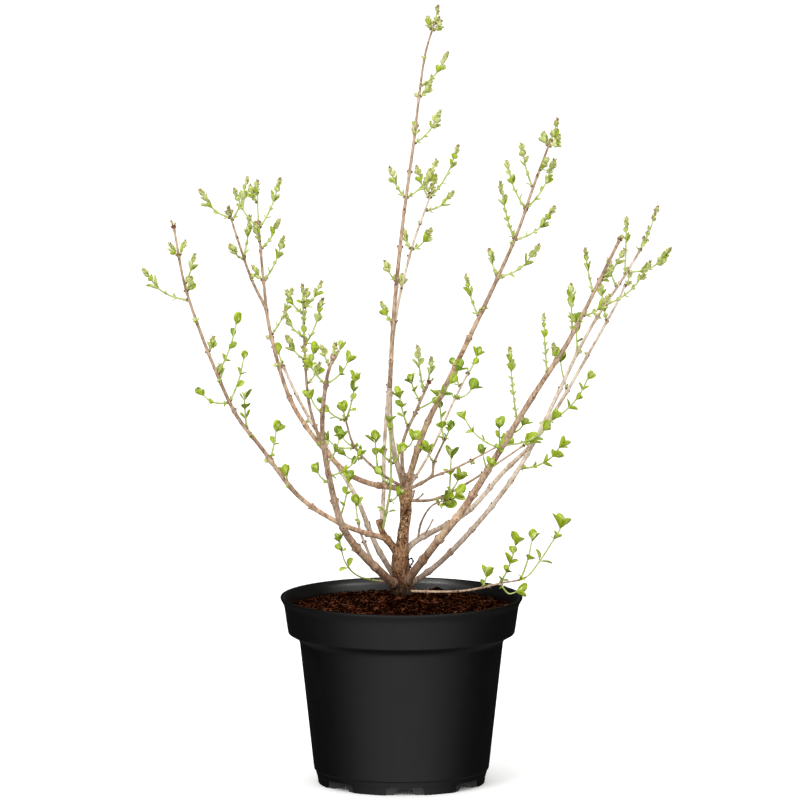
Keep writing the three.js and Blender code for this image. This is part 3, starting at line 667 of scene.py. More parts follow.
# Each has its radius at the foot and at the tip, and the length that is bare. Above that it is
# leafy: from "first" on, a pair of buds stands at every joint, a "step" apart, each pair square
# to the last; "turn" is where the first pair points, and "shoot" how long the shoots are at the
# foot and at the tip of that stretch. "path" is its route from the foot up. "strong" lists the
# shoots that stand out: how far up the cane, turned how far from the right towards the back,
# how long, and at what angle to the cane where it isn't the usual one. A cane that stands "on"
# another names it and how far up that cane its foot is.
Leafy = namedtuple("Leafy", "first step turn shoot seed")
Cane = namedtuple("Cane", "name radius bare leafy path strong on", defaults=(None, (), (), None))
CANES = [
    Cane("side_stub", (3.9, 2.6), 60, None,
         [(-1, 13, 215), (-8, 11, 224), (-18, 6, 239), (-21, 5, 251)]),
    Cane("left_low", (2.6, 1), 92, Leafy(20, 30, 80, (16, 8), 1),
         [(-53, 0, 246), (-96, -12, 275), (-131, -28, 323), (-162, -42, 370), (-200, -60, 471),
          (-214, -66, 540)],
         [(145, 0, 30), (183, 0, 32, 30), (216, 0, 44), (216, 180, 28, 70), (246, 0, 54),
          (324, 180, 46, 60), (340, 0, 24, 40), (368, 0, 9, 45),
          (368, 180, 9, 45)], ("side_stub", 22)),
    Cane("left_front", (4.4, 1.5), 95, Leafy(15, 34, 90, (14, 8), 2),
         [(1, 15, 181), (-20, -8, 203), (-47, -34, 236), (-61, -56, 270), (-74, -90, 344),
          (-71, -110, 397), (-64, -118, 425)],
         [(120, 0, 42, 30), (162, 180, 18), (170, 0, 36, 80), (183, 0, 30, 40), (240, 180, 20),
          (271, 0, 32), (271, 180, 34, 50), (292, 60, 18), (290, 180, 16)]),
    Cane("upper_left", (2.8, 0.9), 150, Leafy(30, 28, 60, (14, 10), 3),
         [(3, 13, 279), (-35, 14, 286), (-63, 22, 304), (-103, 38, 356), (-124, 54, 421),
          (-131, 66, 470), (-136, 82, 526), (-137, 88, 552)],
         [(211, 0, 40), (263, 0, 40, 40), (294, 0, 26, 50), (300, 240, 15, 30), (314, 180, 38, 40),
          (314, 0, 44, 36), (338, 180, 12, 34)]),
    Cane("left_fork", (1.5, 0.9), 0, Leafy(36, 26, 300, (16, 8), 4),
         [(-141, 50, 472), (-149, 42, 495), (-162, 32, 537)],
         [(60, 0, 34, 30), (101, 180, 34), (98, 0, 38, 44)], ("upper_left", 236)),
    Cane("left_inner", (1.6, 1), 0, Leafy(54, 30, 90, (18, 16), 5),
         [(-88, 8, 365), (-92, -14, 429), (-93, -26, 463)],
         [(70, 0, 18, 50), (84, 310, 26, 40), (95, 180, 22, 50), (110, 0, 42, 30), (119, 180, 26),
          (132, 75, 28, 40), (144, 180, 22), (150, 0, 26)], ("upper_left", 93)),
    Cane("back_left", (2.9, 1.2), 150, Leafy(20, 34, 60, (14, 20), 6),
         [(1, 15, 183), (-24, 44, 220), (-43, 72, 262), (-72, 104, 306), (-97, 128, 346),
          (-113, 142, 378)]),
    Cane("small_back", (1.7, 1.1), 0, Leafy(60, 20, 20, (26, 26), 7),
         [(1, 15, 191), (-21, 28, 197), (-37, 45, 227), (-41, 49, 240)]),
    Cane("behind_leader", (2.1, 0.9), 205, Leafy(34, 34, 90, (14, 16), 8),
         [(-17, 36, 274), (-16, 50, 320), (-9, 74, 404), (-3, 84, 447), (10, 96, 499),
          (28, 108, 549)],
         [(278, 0, 20), (278, 180, 15), (330, 0, 50, 20), (318, 0, 26, 60),
          (330, 180, 26, 50)], ("side_stub", 33)),
    Cane("leader", (2.6, 0.9), 100, Leafy(26, 38, 80, (10, 14), 9),
         [(3, 13, 277), (-10, 18, 335), (-9, 22, 419), (0, 26, 521), (11, 30, 604), (21, 34, 684),
          (31, 37, 721)],
         [(162, 180, 16), (201, 180, 17), (281, 180, 26), (281, 0, 38), (333, 0, 33), (388, 0, 34),
          (442, 180, 8), (442, 0, 8)]),
    Cane("centre", (1.9, 1.2), 0, Leafy(50, 40, 90, (12, 12), 10),
         [(3, 13, 277), (1, -8, 324), (14, -26, 360), (26, -44, 390)],
         [(50, 300, 26, 60), (73, 180, 33, 40), (95, 0, 60, 34), (106, 180, 22, 50),
          (117, 180, 42, 30), (121, 100, 24, 40)]),
    Cane("right_top", (3.2, 1), 178, Leafy(26, 36, 60, (14, 20), 11),
         [(3, 13, 275), (21, -8, 337), (42, -20, 383), (77, -38, 459), (107, -52, 528),
          (124, -60, 578), (140, -64, 622)],
         [(196, 180, 36), (240, 180, 22), (240, 0, 42), (280, 180, 50, 40), (280, 0, 42),
          (312, 180, 42), (312, 0, 46, 24), (334, 180, 36, 40), (352, 300, 12), (376, 0, 9),
          (376, 180, 9)]),
    Cane("fork_left", (1.6, 0.9), 0, Leafy(40, 40, 60, (14, 14), 12),
         [(3, 13, 280), (-22, -6, 299), (-44, -24, 325), (-53, -40, 354)],
         [(37, 0, 32, 36), (60, 180, 20, 60), (75, 180, 30, 60), (108, 180, 28),
          (108, 0, 44, 30)]),
    Cane("fork_right", (1.8, 0.9), 0, Leafy(50, 24, 30, (14, 16), 13),
         [(3, 13, 277), (27, 2, 292), (31, -8, 308), (41, -20, 332)],
         [(76, 130, 42, 50)]),
    Cane("fork_low", (1.2, 0.8), 0, Leafy(44, 26, 30, (10, 10), 14),
         [(55, 14, 301), (91, 26, 318)], on=("fork_right", 29)),
    Cane("fork_back", (1.5, 0.9), 0, Leafy(84, 28, 10, (14, 30), 15),
         [(3, 13, 274), (29, 44, 313), (48, 66, 352), (63, 80, 380)],
         [(112, 0, 20, 50), (124, 180, 22, 50)]),
    Cane("low_twig", (1.6, 0.8), 0, Leafy(40, 50, 60, (14, 8), 16),
         [(4, 13, 268), (32, 30, 267), (65, 54, 280), (116, 84, 310)],
         [(50, 180, 34, 60), (46, 240, 20)]),
    Cane("right_lower", (3, 1), 190, Leafy(60, 40, 30, (12, 14), 17),
         [(1, 14, 213), (14, 22, 228), (62, 64, 249), (96, 92, 282), (137, 118, 323),
          (198, 150, 423), (214, 156, 454)],
         [(213, 0, 60, 22), (250, 180, 30)]),
    Cane("lower_twig", (1.1, 0.7), 0, Leafy(48, 20, 0, (10, 10), 18),
         [(19, 18, 247), (29, 8, 264), (46, -2, 272)], on=("right_lower", 24)),
    Cane("right_front", (4.2, 1.4), 150, Leafy(16, 42, 100, (14, 8), 19),
         [(1, 15, 185), (31, -18, 230), (60, -42, 271), (93, -68, 329), (123, -88, 382),
          (160, -106, 444), (204, -124, 536)],
         [(165, 180, 18), (192, 180, 46, 96), (196, 0, 58), (190, 250, 40), (225, 180, 66, 36),
          (282, 180, 52, 36), (330, 180, 40, 30), (350, 0, 26), (375, 180, 36, 40),
          (392, 0, 28, 30)]),
    Cane("right_outer", (2.9, 1.1), 160, Leafy(60, 38, 125, (14, 47), 20),
         [(1, 15, 182), (41, 44, 208), (91, 76, 259), (127, 100, 312), (176, 120, 410),
          (213, 124, 468), (228, 126, 493)],
         [(172, 0, 48), (349, 0, 54, 30), (349, 180, 16), (370, 200, 24, 60), (384, 180, 46, 30),
          (388, 330, 46, 56)]),
    Cane("runner", (1.7, 0.9), 0, Leafy(118, 26, 70, (12, 18), 21),
         [(1, 14, 181), (55, -6, 184), (94, -14, 193), (117, -18, 199), (130, -20, 214),
          (145, -24, 238)],
         [(98, 180, 42), (98, 0, 20, 70), (118, 180, 40, 50), (80, 180, 12)]),
    Cane("low_left", (1.5, 0.8), 0, Leafy(64, 18, 30, (12, 14), 22),
         [(1, 15, 188), (-30, 2, 194), (-44, -8, 201), (-53, -16, 213), (-57, -20, 226)]),
    Cane("green_shoot", (1.8, 1), 0, Leafy(22, 26, 0, (10, 12), 23),
         [(-14, -4, 262), (-10, -15, 292), (-11, -31, 343)],
         [(34, 0, 12, 60), (52, 180, 13, 60), (74, 0, 14, 50),
          (76, 180, 12, 50)], ("side_stub", 31)),
]

# Canes, or their ends, that grew this spring and are still green, from how far up.
GREEN_FROM = {"green_shoot": 0, "runner": 124, "behind_leader": 332, "low_left": 24,
              "left_inner": 118, "upper_left": 322}
# Canes at the back whose older bark has bleached, and boughs where it has.
PALE_CANES = ("behind_leader", "right_outer", "back_left", "fork_back", "right_lower", "small_back")
PALE_BOUGHS = (*PALE_CANES, "leader")
OLD_CANES = ("side_stub",)  # with bark as rough as the trunk's
CANE_SIDES = 12
CANE_STEP = 1.6
SHORTEST = 0.5  # stretch of bark that is worth making
JOINT_SPACING = 31.0  # on the bare part of a cane
LOWEST_JOINT = 10.0
JOINT_SWELL = 0.38  # of the cane's radius
JOINT_HALF = 2.3  # half the height of a swollen joint
FOOT_FLARE = 0.45
SLIM_GIRTH = 0.76  # of a green end or a starved shoot, beside one that has thickened
SLIM = ("runner",)
# Twigs that died back: on which cane, how far up it, and where they end from there.
DEAD_TWIGS = [("right_lower", 29, (11, -3, 18)), ("low_twig", 9, (9, -1, 7)),
              ("low_twig", 6, (3, 0, 10))]
CUT_CANE = "left_front"  # was cut off, and has healed with a swollen end


def leafy_joints(cane):
    """How far up each leafy joint of a cane is, and its share of the leafy length."""
    first, length = cane.leafy.first, routes[cane.name].length
    leafy = length - cane.bare
    count = max(1, int((leafy - first) / cane.leafy.step + 0.5))
    return [(min(cane.bare + mix(first, leafy, k / count), length - 1), k / count)
            for k in range(count + 1)]


def joints_of(cane):
    """How far up each joint is, and where its buds point."""
    if not cane.leafy:
        return [(0.5 * routes[cane.name].length, 60), (routes[cane.name].length - 2, 150)]
    joints = [(s, cane.leafy.turn + 90 * k) for k, (s, _) in enumerate(leafy_joints(cane))]
    while joints[0][0] - JOINT_SPACING > LOWEST_JOINT:
        s, turn = joints[0]
        joints.insert(0, (s - JOINT_SPACING, turn + 90))
    return joints


def plain_radius(cane, s):
    """The radius of a cane without its joints and flare."""
    return mix(*cane.radius, s / routes[cane.name].length)


def cane_radius(cane, joints, slim):
    seed = len(cane.name) * 7.3

    def radius_at(s, angle):
        swell = 1 + FOOT_FLARE * exp(-max(s, 0) / (1.6 * cane.radius[0]))
        for up, turn in joints:
            if abs(s - up) < 3 * JOINT_HALF:
                towards = abs(cos(angle - radians(turn)))
                far = (s - up + 0.6) / JOINT_HALF
                swell += JOINT_SWELL * (0.45 + 0.55 * towards) * exp(-far * far)
        x, y = cos(angle), sin(angle)
        rough = noise.noise(Vector((2 * x + seed, 2 * y, s / 5)))
        ribs = noise.noise(Vector((4 * x + seed, 4 * y, s / 16)))
        girth = SLIM_GIRTH if slim else 1.0
        return girth * (plain_radius(cane, s) * (swell + 0.07 * rough + 0.06 * ribs))

    return radius_at


# Smooth tan bark of two or three years, the browner skin of last year's growth, and bark that
# the light has bleached.
young_bark = wood_material("young_lilac_bark", "#8f6c55", "#dabb9a", "#eadac4")
year_bark = wood_material("one_year_lilac_bark", "#846753", "#cdb195", "#e0cfba", flake=2.0,
                          flecks=0.01, damp_share=0.0)
pale_bark = wood_material("bleached_lilac_bark", "#a68e78", "#dfd0be", "#eee6da", depth=0.25)
old_wood, tan_wood, pale_wood = Growth(), Growth(), Growth()
tan_stems, pale_stems, green_stems = Growth(), Growth(), Growth()
routes, cane_joints = {}, {}
for cane in CANES:
    name = cane.name
    foot = [routes[cane.on[0]].at(cane.on[1])] if cane.on else []
    route = routes[name] = Route([*foot, *cane.path])
    joints = cane_joints[name] = joints_of(cane)
    green = min(GREEN_FROM.get(name, route.length), route.length)
    bare = min(cane.bare, green)
    wood = old_wood if name in OLD_CANES else pale_wood if name in PALE_BOUGHS else tan_wood
    stems = pale_stems if name in PALE_CANES else tan_stems
    for growth, start, end in ((wood, 0, bare), (stems, bare, green),
                               (green_stems, green, route.length)):
        if end - start > SHORTEST:
            radius_at = cane_radius(cane, joints, growth is green_stems or name in SLIM)
            growth.tube(route, start, end, radius_at, CANE_SIDES, CANE_STEP)

for name, s, end in DEAD_TWIGS:
    foot, reach = routes[name].at(s), Vector(end)
    dead = Route([foot, foot + 0.5 * reach + Vector((0.6, 0, -0.6)), foot + reach])
    tip = dead.length
    tan_stems.tube(dead, 0, tip, lambda s, angle: 0.95 - 0.35 * s / tip
                   + 0.5 * exp(-((tip - s) / 1.4) ** 2), 6, 1.4)
route = routes[CUT_CANE]
end, along = route.at(route.length), route.heading(route.length)
scar = Route([end - along * 7, end, end + along * 1.2])
tan_stems.tube(scar, 0, scar.length, lambda s, angle: 1.5 + 1.7 * smooth(1, 7, s)
               * (1 + 0.15 * cos(3 * angle)), 10, 1.2)

boughs = {cane.name: cane.name + ("_bough" if cane.leafy else "") for cane in CANES if cane.bare}
masses = {cane.name: cane.name + "_foliage" for cane in CANES if cane.leafy}
all_masses = [*masses.values()]
old_wood.piece("stub_bark", old_bark, "bark", OLD_CANES)
tan_wood.piece("bough_bark", young_bark, "bark",
               [boughs[name] for name in boughs if name not in (*PALE_BOUGHS, *OLD_CANES)])
pale_wood.piece("bleached_bough_bark", pale_bark, "bark",
                [boughs[name] for name in boughs if name in PALE_BOUGHS])
tan_stems.piece("stem_bark", year_bark, "foliage",
                [masses[name] for name in masses if name not in PALE_CANES])
pale_stems.piece("bleached_stem_bark", pale_bark, "foliage",
                 [masses[name] for name in masses if name in PALE_CANES])

# ---- Where the young growth stands ----
# Buds sit in pairs at the joints. In early spring some have grown into a green shoot, which
# leaves its cane at an angle, bends upright, and carries pairs of leaves. A shoot or leaf that
# would touch another piece is left out.

STEM = 0  # the number that a cane's own stem has among its shoots
CLEARANCE = 1.0  # least space between a leaf or twig and any other piece
SPREAD = 48.0  # degrees between a shoot and its cane
TIP_LEAN = 5.0  # degrees between a cane and the shoot that goes on from its tip
RISE = 0.5  # how far a shoot has bent upright at its tip
AWAKE = 0.15  # share of the buds that have grown into a shoot
PAIR_SPACING = 19.0  # between the main leaf pairs of a shoot
SHOOT_TIP = 2.4  # the bud that stands above the last pair of leaves
LEAF_LENGTH = 15.0
LEAF_WIDTH = 0.7  # of its length
LEAF_ANGLE = (58.0, 38.0)  # degrees from the shoot, at its foot and at its tip
LOWEST_LEAF = 182.0  # clears the rim and the soil
MOST_CLAIMS = 6000
CLAIM_LENGTH = 12.0  # of each line along a cane, at most
TRUNK_CLAIM = 7.0  # the radius that growth keeps clear of round the trunk

Shoot = namedtuple("Shoot", "cane number route twist")


def seeded(seed):
    """Endless random shares from 0 to 1, the same for the same seed."""
    state = seed * 7919 + 12345
    while True:
        state = (state * 1664525 + 1013904223) % 2 ** 32
        yield state / 2 ** 32


class Claims:
    """The lines that pieces hold, each with a radius, so that growth can keep clear of them."""

    def __init__(self):
        self.count = 0
        self.starts, self.ends = np.empty((MOST_CLAIMS, 3)), np.empty((MOST_CLAIMS, 3))
        self.radii, self.shoots = np.empty(MOST_CLAIMS), np.empty(MOST_CLAIMS, dtype=int)
        self.owners = np.empty(MOST_CLAIMS, dtype=object)

    def hold(self, owner, shoot, start, end, radius):
        i = self.count
        self.starts[i], self.ends[i], self.radii[i] = start, end, radius
        self.owners[i], self.shoots[i] = owner, shoot
        self.count += 1

    def hold_route(self, owner, route, start, end, radius_at):
        steps = ceil((end - start) / CLAIM_LENGTH)
        for i in range(steps):
            low, high = mix(start, end, i / steps), mix(start, end, (i + 1) / steps)
            self.hold(owner, STEM, route.at(low), route.at(high), radius_at(low))

    def clear(self, owner, shoot, start, end, radius):
        """Shoots of one cane may touch it but not each other; others stay a clearance off."""
        n = self.count
        start, end = np.array(start), np.array(end)
        starts, along = self.starts[:n], self.ends[:n] - self.starts[:n]
        line, gap = end - start, start - starts
        a, e = line @ line, np.maximum((along * along).sum(1), 1e-9)
        b, c, f = along @ line, gap @ line, (along * gap).sum(1)
        s = np.clip((b * f - c * e) / np.maximum(a * e - b * b, 1e-9), 0, 1)
        t = (b * s + f) / e
        s = np.where(t < 0, np.clip(-c / a, 0, 1), np.where(t > 1, np.clip((b - c) / a, 0, 1), s))
        t = np.clip(t, 0, 1)
        far = np.linalg.norm(gap + s[:, None] * line - t[:, None] * along, axis=1)
        kin = self.owners[:n] == owner
        own = kin & ((self.shoots[:n] == shoot) | (self.shoots[:n] == STEM))
        least = radius + self.radii[:n] + np.where(kin, 0, CLEARANCE)
        return bool(np.all(own | (far > least)))


def grow_shoot(name, number, foot, start, length, draw):
    """A shoot that claims the room for itself and its main leaves, or None if it has none."""
    points = [foot]
    for i in range(3):
        points.append(points[-1] + start.lerp(UP, RISE * i / 2).normalized() * (length / 3))
    pairs = max(1, int(length / PAIR_SPACING + 0.5))
    twist = 60 * next(draw)
    sizes = [0.8 + 0.4 * next(draw) for _ in range(2 * pairs)]
    outer = [points[0].lerp(points[1], 0.6), *points[1:]]
    parts = [(name, number, low, high, 1) for low, high in zip(outer, points[1:])]
    if min(point.z for point in points) < LOWEST_LEAF:
        return None
    if not all(claims.clear(*part) for part in parts):
        return None
    for part in parts:
        claims.hold(*part)
    route = Route(points)
    for i, size in enumerate(sizes):
        share = (i // 2 + 1) / pairs
        s = route.length * share - SHOOT_TIP
        heading = route.heading(s)
        side = turned(heading, twist + 90 * (i // 2) + 180 * (i % 2))
        out = leant(heading, side, mix(*LEAF_ANGLE, share))
        blade = LEAF_LENGTH * size * (0.72 + 0.4 * sin(0.8 * pi * share))
        middle, end = (route.at(s) + out * (k * blade) for k in (0.35, 0.8))
        leaf = (name, number, middle, end, blade * LEAF_WIDTH / 2)
        if end.z >= LOWEST_LEAF and claims.clear(*leaf):
            claims.hold(*leaf)
    return Shoot(name, number, route, twist)


def grow_mass(cane):
    """The shoots of a cane, the one from its tip first, and the buds that still sleep."""
    rule, route = cane.leafy, routes[cane.name]
    draw = seeded(rule.seed)
    grown, asleep = [], []

    def grow(s, turn, length, angle=SPREAD):
        heading = route.heading(s)
        start = leant(heading, turned(heading, turn), angle)
        number = len(grown) + 1
        grown.append(grow_shoot(cane.name, number, route.at(s), start, length, draw))

    grow(route.length - 1, rule.turn, rule.shoot[1], TIP_LEAN)
    for place in cane.strong:
        grow(*place)
    for joint, (s, share) in enumerate(leafy_joints(cane)):
        for half in (0, 180):
            wakes, vigour, twist = next(draw), next(draw), next(draw)
            turn = rule.turn + half + 90 * joint
            if wakes < AWAKE:
                length = mix(*rule.shoot, share) * (0.6 + 0.7 * vigour)
                grow(s, turn + 30 * (twist - 0.5), length)
            else:
                asleep.append((cane, s, turn))
    return [shoot for shoot in grown if shoot], asleep


claims = Claims()
claims.hold_route("trunk", trunk_route, 0, trunk_route.length, lambda s: TRUNK_CLAIM)
for cane in CANES:
    route = routes[cane.name]
    end = min(cane.bare, route.length)
    if cane.bare:
        claims.hold_route(cane.name + "_bough", route, 0, end, lambda s: plain_radius(cane, s))
    if cane.leafy:
        claims.hold_route(cane.name, route, end, route.length, lambda s: plain_radius(cane, s))

shoots, sleeping = [], []
for cane in CANES:
    if cane.leafy:
        grown, asleep = grow_mass(cane)
        shoots += grown
        sleeping += asleep

# ---- Leaves, shoots and buds ----
# Each shoot is a soft green stem with a pair of leaves at every joint, each pair square to the
# last. Low in the bush the leaves have opened, round and bright. Higher up they are still small,
# pale and folded round the next pair, with lumpy heads of flower buds between them.

# Rows along a blade, and places round its edge: how far across, and on which side of it.
FINE_BLADE = (np.array((0.0, 0.15, 0.24, 0.38, 0.56, 0.74, 0.88, 0.97)),
              np.array(((1, 0), (0.55, 1), (0, 1), (-0.55, 1), (-1, 0), (-0.55, -1), (0, -1),
                        (0.55, -1))))
SMALL_BLADE = (np.array((0.0, 0.18, 0.38, 0.66, 0.92)),
               np.array(((1.0, 0), (0, 1), (-1, 0), (0, -1))))
SMALL_LEAF = 5.5  # the longest that needs no fine blade
PETIOLE = 0.05  # half the width of a leaf's stalk, of its length
BLADE_HALF = 0.16  # half the thickness of a blade, in millimetres
LEAF_PATCH_MM = 9.0
YOUNG, FRESH, DEEP = "young", "fresh", "deep"
TWIG_RADIUS = (1.0, 0.62)
TWIG_SIDES = 6
TWIG_STEP = 2.5
FIRST_PAIR = 3.0  # how far up a shoot its first pair of leaves stands
OPEN_SPACING = (9.0, 15.0)  # between all the pairs of a shoot whose leaves have opened
FOLDED_SPACING = 8.0
TIP_SPACING = 4.6  # between the pairs of small leaves at a folded tip
TIP_GROWN = 0.74  # of the shoot that goes on from a cane's tip, so far this spring
OPENED, FOLDED = 325.0, 450.0  # leaves have opened below the first height, none above the second
FALLEN = 0.12  # share of the leaves that are missing
GOLDEN_TURN = 137.5  # degrees from each part of a head to the next
# How much larger the leaves are of the low stems, which woke first.
LUSH = {"runner": 1.3, "low_twig": 1.25, "lower_twig": 1.25, "fork_low": 1.2, "fork_right": 1.1}
LUSH_TIPS = {"runner": 1.25}
SPENT_CANES = ("left_low", "right_front", "centre")  # have flowered: no shoot goes on from the tip
STIRRING = 0.4  # share of the sleeping buds that show a tuft of tiny leaves
TUFT_HEIGHT = 380.0  # above it every tuft is young
BARK_CURL = [(6.5, 9, 212), (9.6, 6.4, 213.5), (11, 6.2, 211), (9.6, 6.6, 208), (8.2, 7, 206.5),
             (9.6, 6.6, 203.5), (11.2, 6.2, 202)]


class Foliage(Parts):
    """Leaves of one tint: thin closed blades, each with its own outline, joined together."""

    def __init__(self):
        super().__init__()
        self.places = []

    def leaf(self, foot, out, face, length, width, fold, curl):
        """A blade from its foot outwards. face is its upper side, towards which it is folded;
        curl is how far it arches away from that side."""
        rows, edge = FINE_BLADE if length > SMALL_LEAF else SMALL_BLADE
        out, face, foot = np.array(out), np.array(face), np.array(foot)
        x = np.clip((rows - 0.12) / 0.88, 0, 1)
        half = length * np.maximum(PETIOLE, 0.5 * width * 2.14 * x ** 0.55 * (1 - x) ** 0.55)
        half[-1] = min(half[-1], 0.8 * half[-2])
        bend = curl * rows
        middle = (foot + np.outer(length * rows * (1 - bend ** 2 / 6), out)
                  - np.outer(0.5 * length * rows * bend, face))
        normal = np.outer(np.cos(bend), face) + np.outer(np.sin(bend), out)
        sway = edge[:, 0] * half[:, None]
        lift = fold * np.abs(sway) + edge[:, 1] * BLADE_HALF * (1.6 - np.abs(edge[:, 0]))
        rings = (middle[:, None] + sway[..., None] * np.cross(face, out)
                 + lift[..., None] * normal[:, None])
        tip = foot + length * (1 - curl ** 2 / 6) * out - 0.5 * length * curl * face
        self.skin(rings, tip)
        self.places += [(0.5 + 0.5 * across, row) for row in rows for across in edge[:, 0]]
        self.places.append((0.5, 1.0))

    def piece(self, name, material, slot, nodes):
        mesh = super().piece(name, material, slot, nodes).data
        corners = np.empty(len(mesh.loops), dtype=np.int32)
        mesh.loops.foreach_get("vertex_index", corners)
        blade_map = mesh.uv_layers.new(name="blade")
        blade_map.data.foreach_set("uv", np.array(self.places)[corners].ravel())


def leaf_material(name, dark, light, rib, gloss):
    """A soft young lilac leaf: two greens in broad patches, a paler midrib and faint side veins
    that stand up a little, and a low waxy gloss."""
    material, tree, shader, spot = new_material(name, gloss, 1.42, 0.3)
    greens = tint(tree, spread(tree, mottle(tree, spot, LEAF_PATCH_MM), 0.36, 0.64), dark, light)
    blade_map = add(tree, "ShaderNodeTexCoord", {}).outputs["UV"]
    blade = add(tree, "ShaderNodeSeparateXYZ", {0: blade_map}).outputs
    off = work(tree, "ABSOLUTE", work(tree, "SUBTRACT", blade["X"], 0.5))
    slope = work(tree, "MULTIPLY_ADD", off, -0.7, blade["Y"])
    raised = spread(tree, work(tree, "SINE", work(tree, "MULTIPLY", slope, 44.0)), 0.7, 1.0)
    midrib = spread(tree, off, 0.03, 0.09, 1.0, 0.0)
    veins = work(tree, "MULTIPLY_ADD", raised, 0.35, midrib, use_clamp=True)
    colour = tint(tree, work(tree, "MULTIPLY", veins, 0.55), greens, rib)
    coat(tree, shader, colour, veins, 0.35, 0.2, invert=True)
    return material


leaves = {YOUNG: Foliage(), FRESH: Foliage(), DEEP: Foliage()}
twigs, flower_buds, brown_tips, bud_scales = Growth(), Growth(), Growth(), Growth()


def put_leaf(shoot, kind, foot, heading, turn, tilt, length, width, fold, curl, roll=0.0):
    """A leaf at a joint, where there is room for it."""
    side = turned(heading, turn)
    out, face = leant(heading, side, tilt), leant(heading, side, tilt - 90)
    across = face.cross(out)
    face = (face * cos(roll) + across * sin(roll)).normalized()
    tip = foot + out * length
    if min(foot.z, tip.z) < LOWEST_LEAF:
        return
    if claims.clear(shoot.cane, shoot.number, foot + out * (0.4 * length), tip, 0.2 * length):
        leaves[kind].leaf(foot + side * 0.3, out, face, length, width, fold, curl)


def put_scale(foot, out, length, width):
    bud_scales.bud(foot, out, turned(out, 0), length, width)


def put_head(foot, out, length, width, draw, browned):
    """A knobbly head of flower buds on the end of its stalk, dull brown at its tip."""
    flower_buds.bud(foot, out, turned(out, 0), 0.85 * length, 0.55 * width)
    lumps = round(1.7 * length)
    for k in range(lumps):
        share = (k + 0.5) / lumps
        side = turned(out, GOLDEN_TURN * k + draw.uniform(-25, 25))
        at = (foot + out * (mix(0.02, 0.72, share) * length)
              + side * (0.16 * width * (1 - 0.5 * share)))
        growth = brown_tips if k >= lumps - browned else flower_buds
        growth.bud(at, leant(out, side, mix(64, 16, share) + draw.uniform(-12, 12)),
                   side.cross(out), mix(0.52, 0.42, share) * width * draw.uniform(0.8, 1.25),
                   0.36 * width)


def dress_tip(shoot, s, length, plump, draw):
    """The tip of a young shoot: pairs of small cupped leaves that close up towards the end, bud
    heads on short stalks in some of their forks, and one head at the end."""
    route = shoot.route
    budded = shoot.number == 1  # the shoot at a cane's own tip carries the most flower buds
    last = route.heading(route.length)
    end = route.at(route.length)
    reach = 0.8 * length
    tip = end + last * max(s + reach - route.length, 0.5)
    twigs.stalk(end - last, tip, TWIG_RADIUS[1])
    pairs = max(2, round(reach / TIP_SPACING))
    for k in range(pairs):
        share = k / pairs
        up = s + reach * (1 - (1 - share) ** 1.25)
        heading = route.heading(min(up, route.length))
        foot = route.at(min(up, route.length)) + heading * max(up - route.length, 0)
        for half in (0, 180):
            if draw.random() < (0.35 if budded else 0.1):
                continue
            turn = shoot.twist + 90 * k + half + draw.uniform(-24, 24)
            size = plump * mix(7.6, 5.0, share) * draw.uniform(0.7, 1.15)
            kind = FRESH if share < 0.4 and draw.random() < 0.3 else YOUNG
            if not budded or draw.random() < 0.3:
                tilt = mix(50, 28, share) + draw.uniform(-10, 10)
                put_leaf(shoot, kind, foot, heading, turn, tilt, size, draw.uniform(0.76, 0.95),
                         0.5, -0.55, draw.uniform(-0.3, 0.3))
            if draw.random() < (1.0 if budded else 0.5):
                side = turned(heading, turn + draw.uniform(-25, 25))
                out = leant(heading, side, draw.uniform(22, 42))
                stalk = mix(2.2, 0.9, share) * draw.uniform(0.5, 1.2)
                head = (1.15 if budded else 1) * plump * mix(4.4, 3.6, share)
                head *= draw.uniform(0.75, 1.15)
                twigs.stalk(foot, foot + out * (stalk + 0.5), 0.5)
                put_head(foot + out * stalk, out, head, 0.85 * head, draw,
                         draw.choice((3, 5, 6) if budded else (0, 0, 1, 2)))
    size = plump * draw.uniform(4.6, 6.2)
    put_head(tip, last, size, 0.9 * size, draw, draw.choice((5, 7) if budded else (1, 2, 4)))


def dress_spent_tip(route, draw):
    """The tip of a cane that flowered last year: brown stalk ends in a knob of old bud scales."""
    foot, heading = route.at(0), route.heading(0)
    for k in range(7):
        out = leant(heading, turned(heading, GOLDEN_TURN * k), 20 + 7 * k)
        put_scale(foot + out * 0.3, out, 3.6, 2.6)
    for k in range(3):
        out = leant(heading, turned(heading, 120 * k + draw.uniform(-30, 30)), draw.uniform(14, 34))
        stalk = draw.uniform(3, 6.5)
        bud_scales.stalk(foot, foot + out * stalk, 0.6)
        put_head(foot + out * (stalk - 0.5), out, 3.4, 2.9, draw, 4)


def put_folded_leaf(shoot, foot, heading, turn, at_tip, draw):
    """A small pale leaf, still folded, on the stem of a young shoot."""
    roll, spin = draw.uniform(-0.3, 0.3), draw.uniform(-16, 16)
    if shoot.number == 1 and at_tip and draw.random() < 0.75:
        return
    size = draw.uniform(8, 11) if at_tip else draw.uniform(4.4, 7)
    kind = FRESH if at_tip and draw.random() < 0.5 else YOUNG
    width, tilt = (0.78, draw.uniform(22, 44)) if at_tip else (0.6, draw.uniform(35, 62))
    put_leaf(shoot, kind, foot, heading, turn + spin, tilt, size, width, 0.45, -0.3, roll)


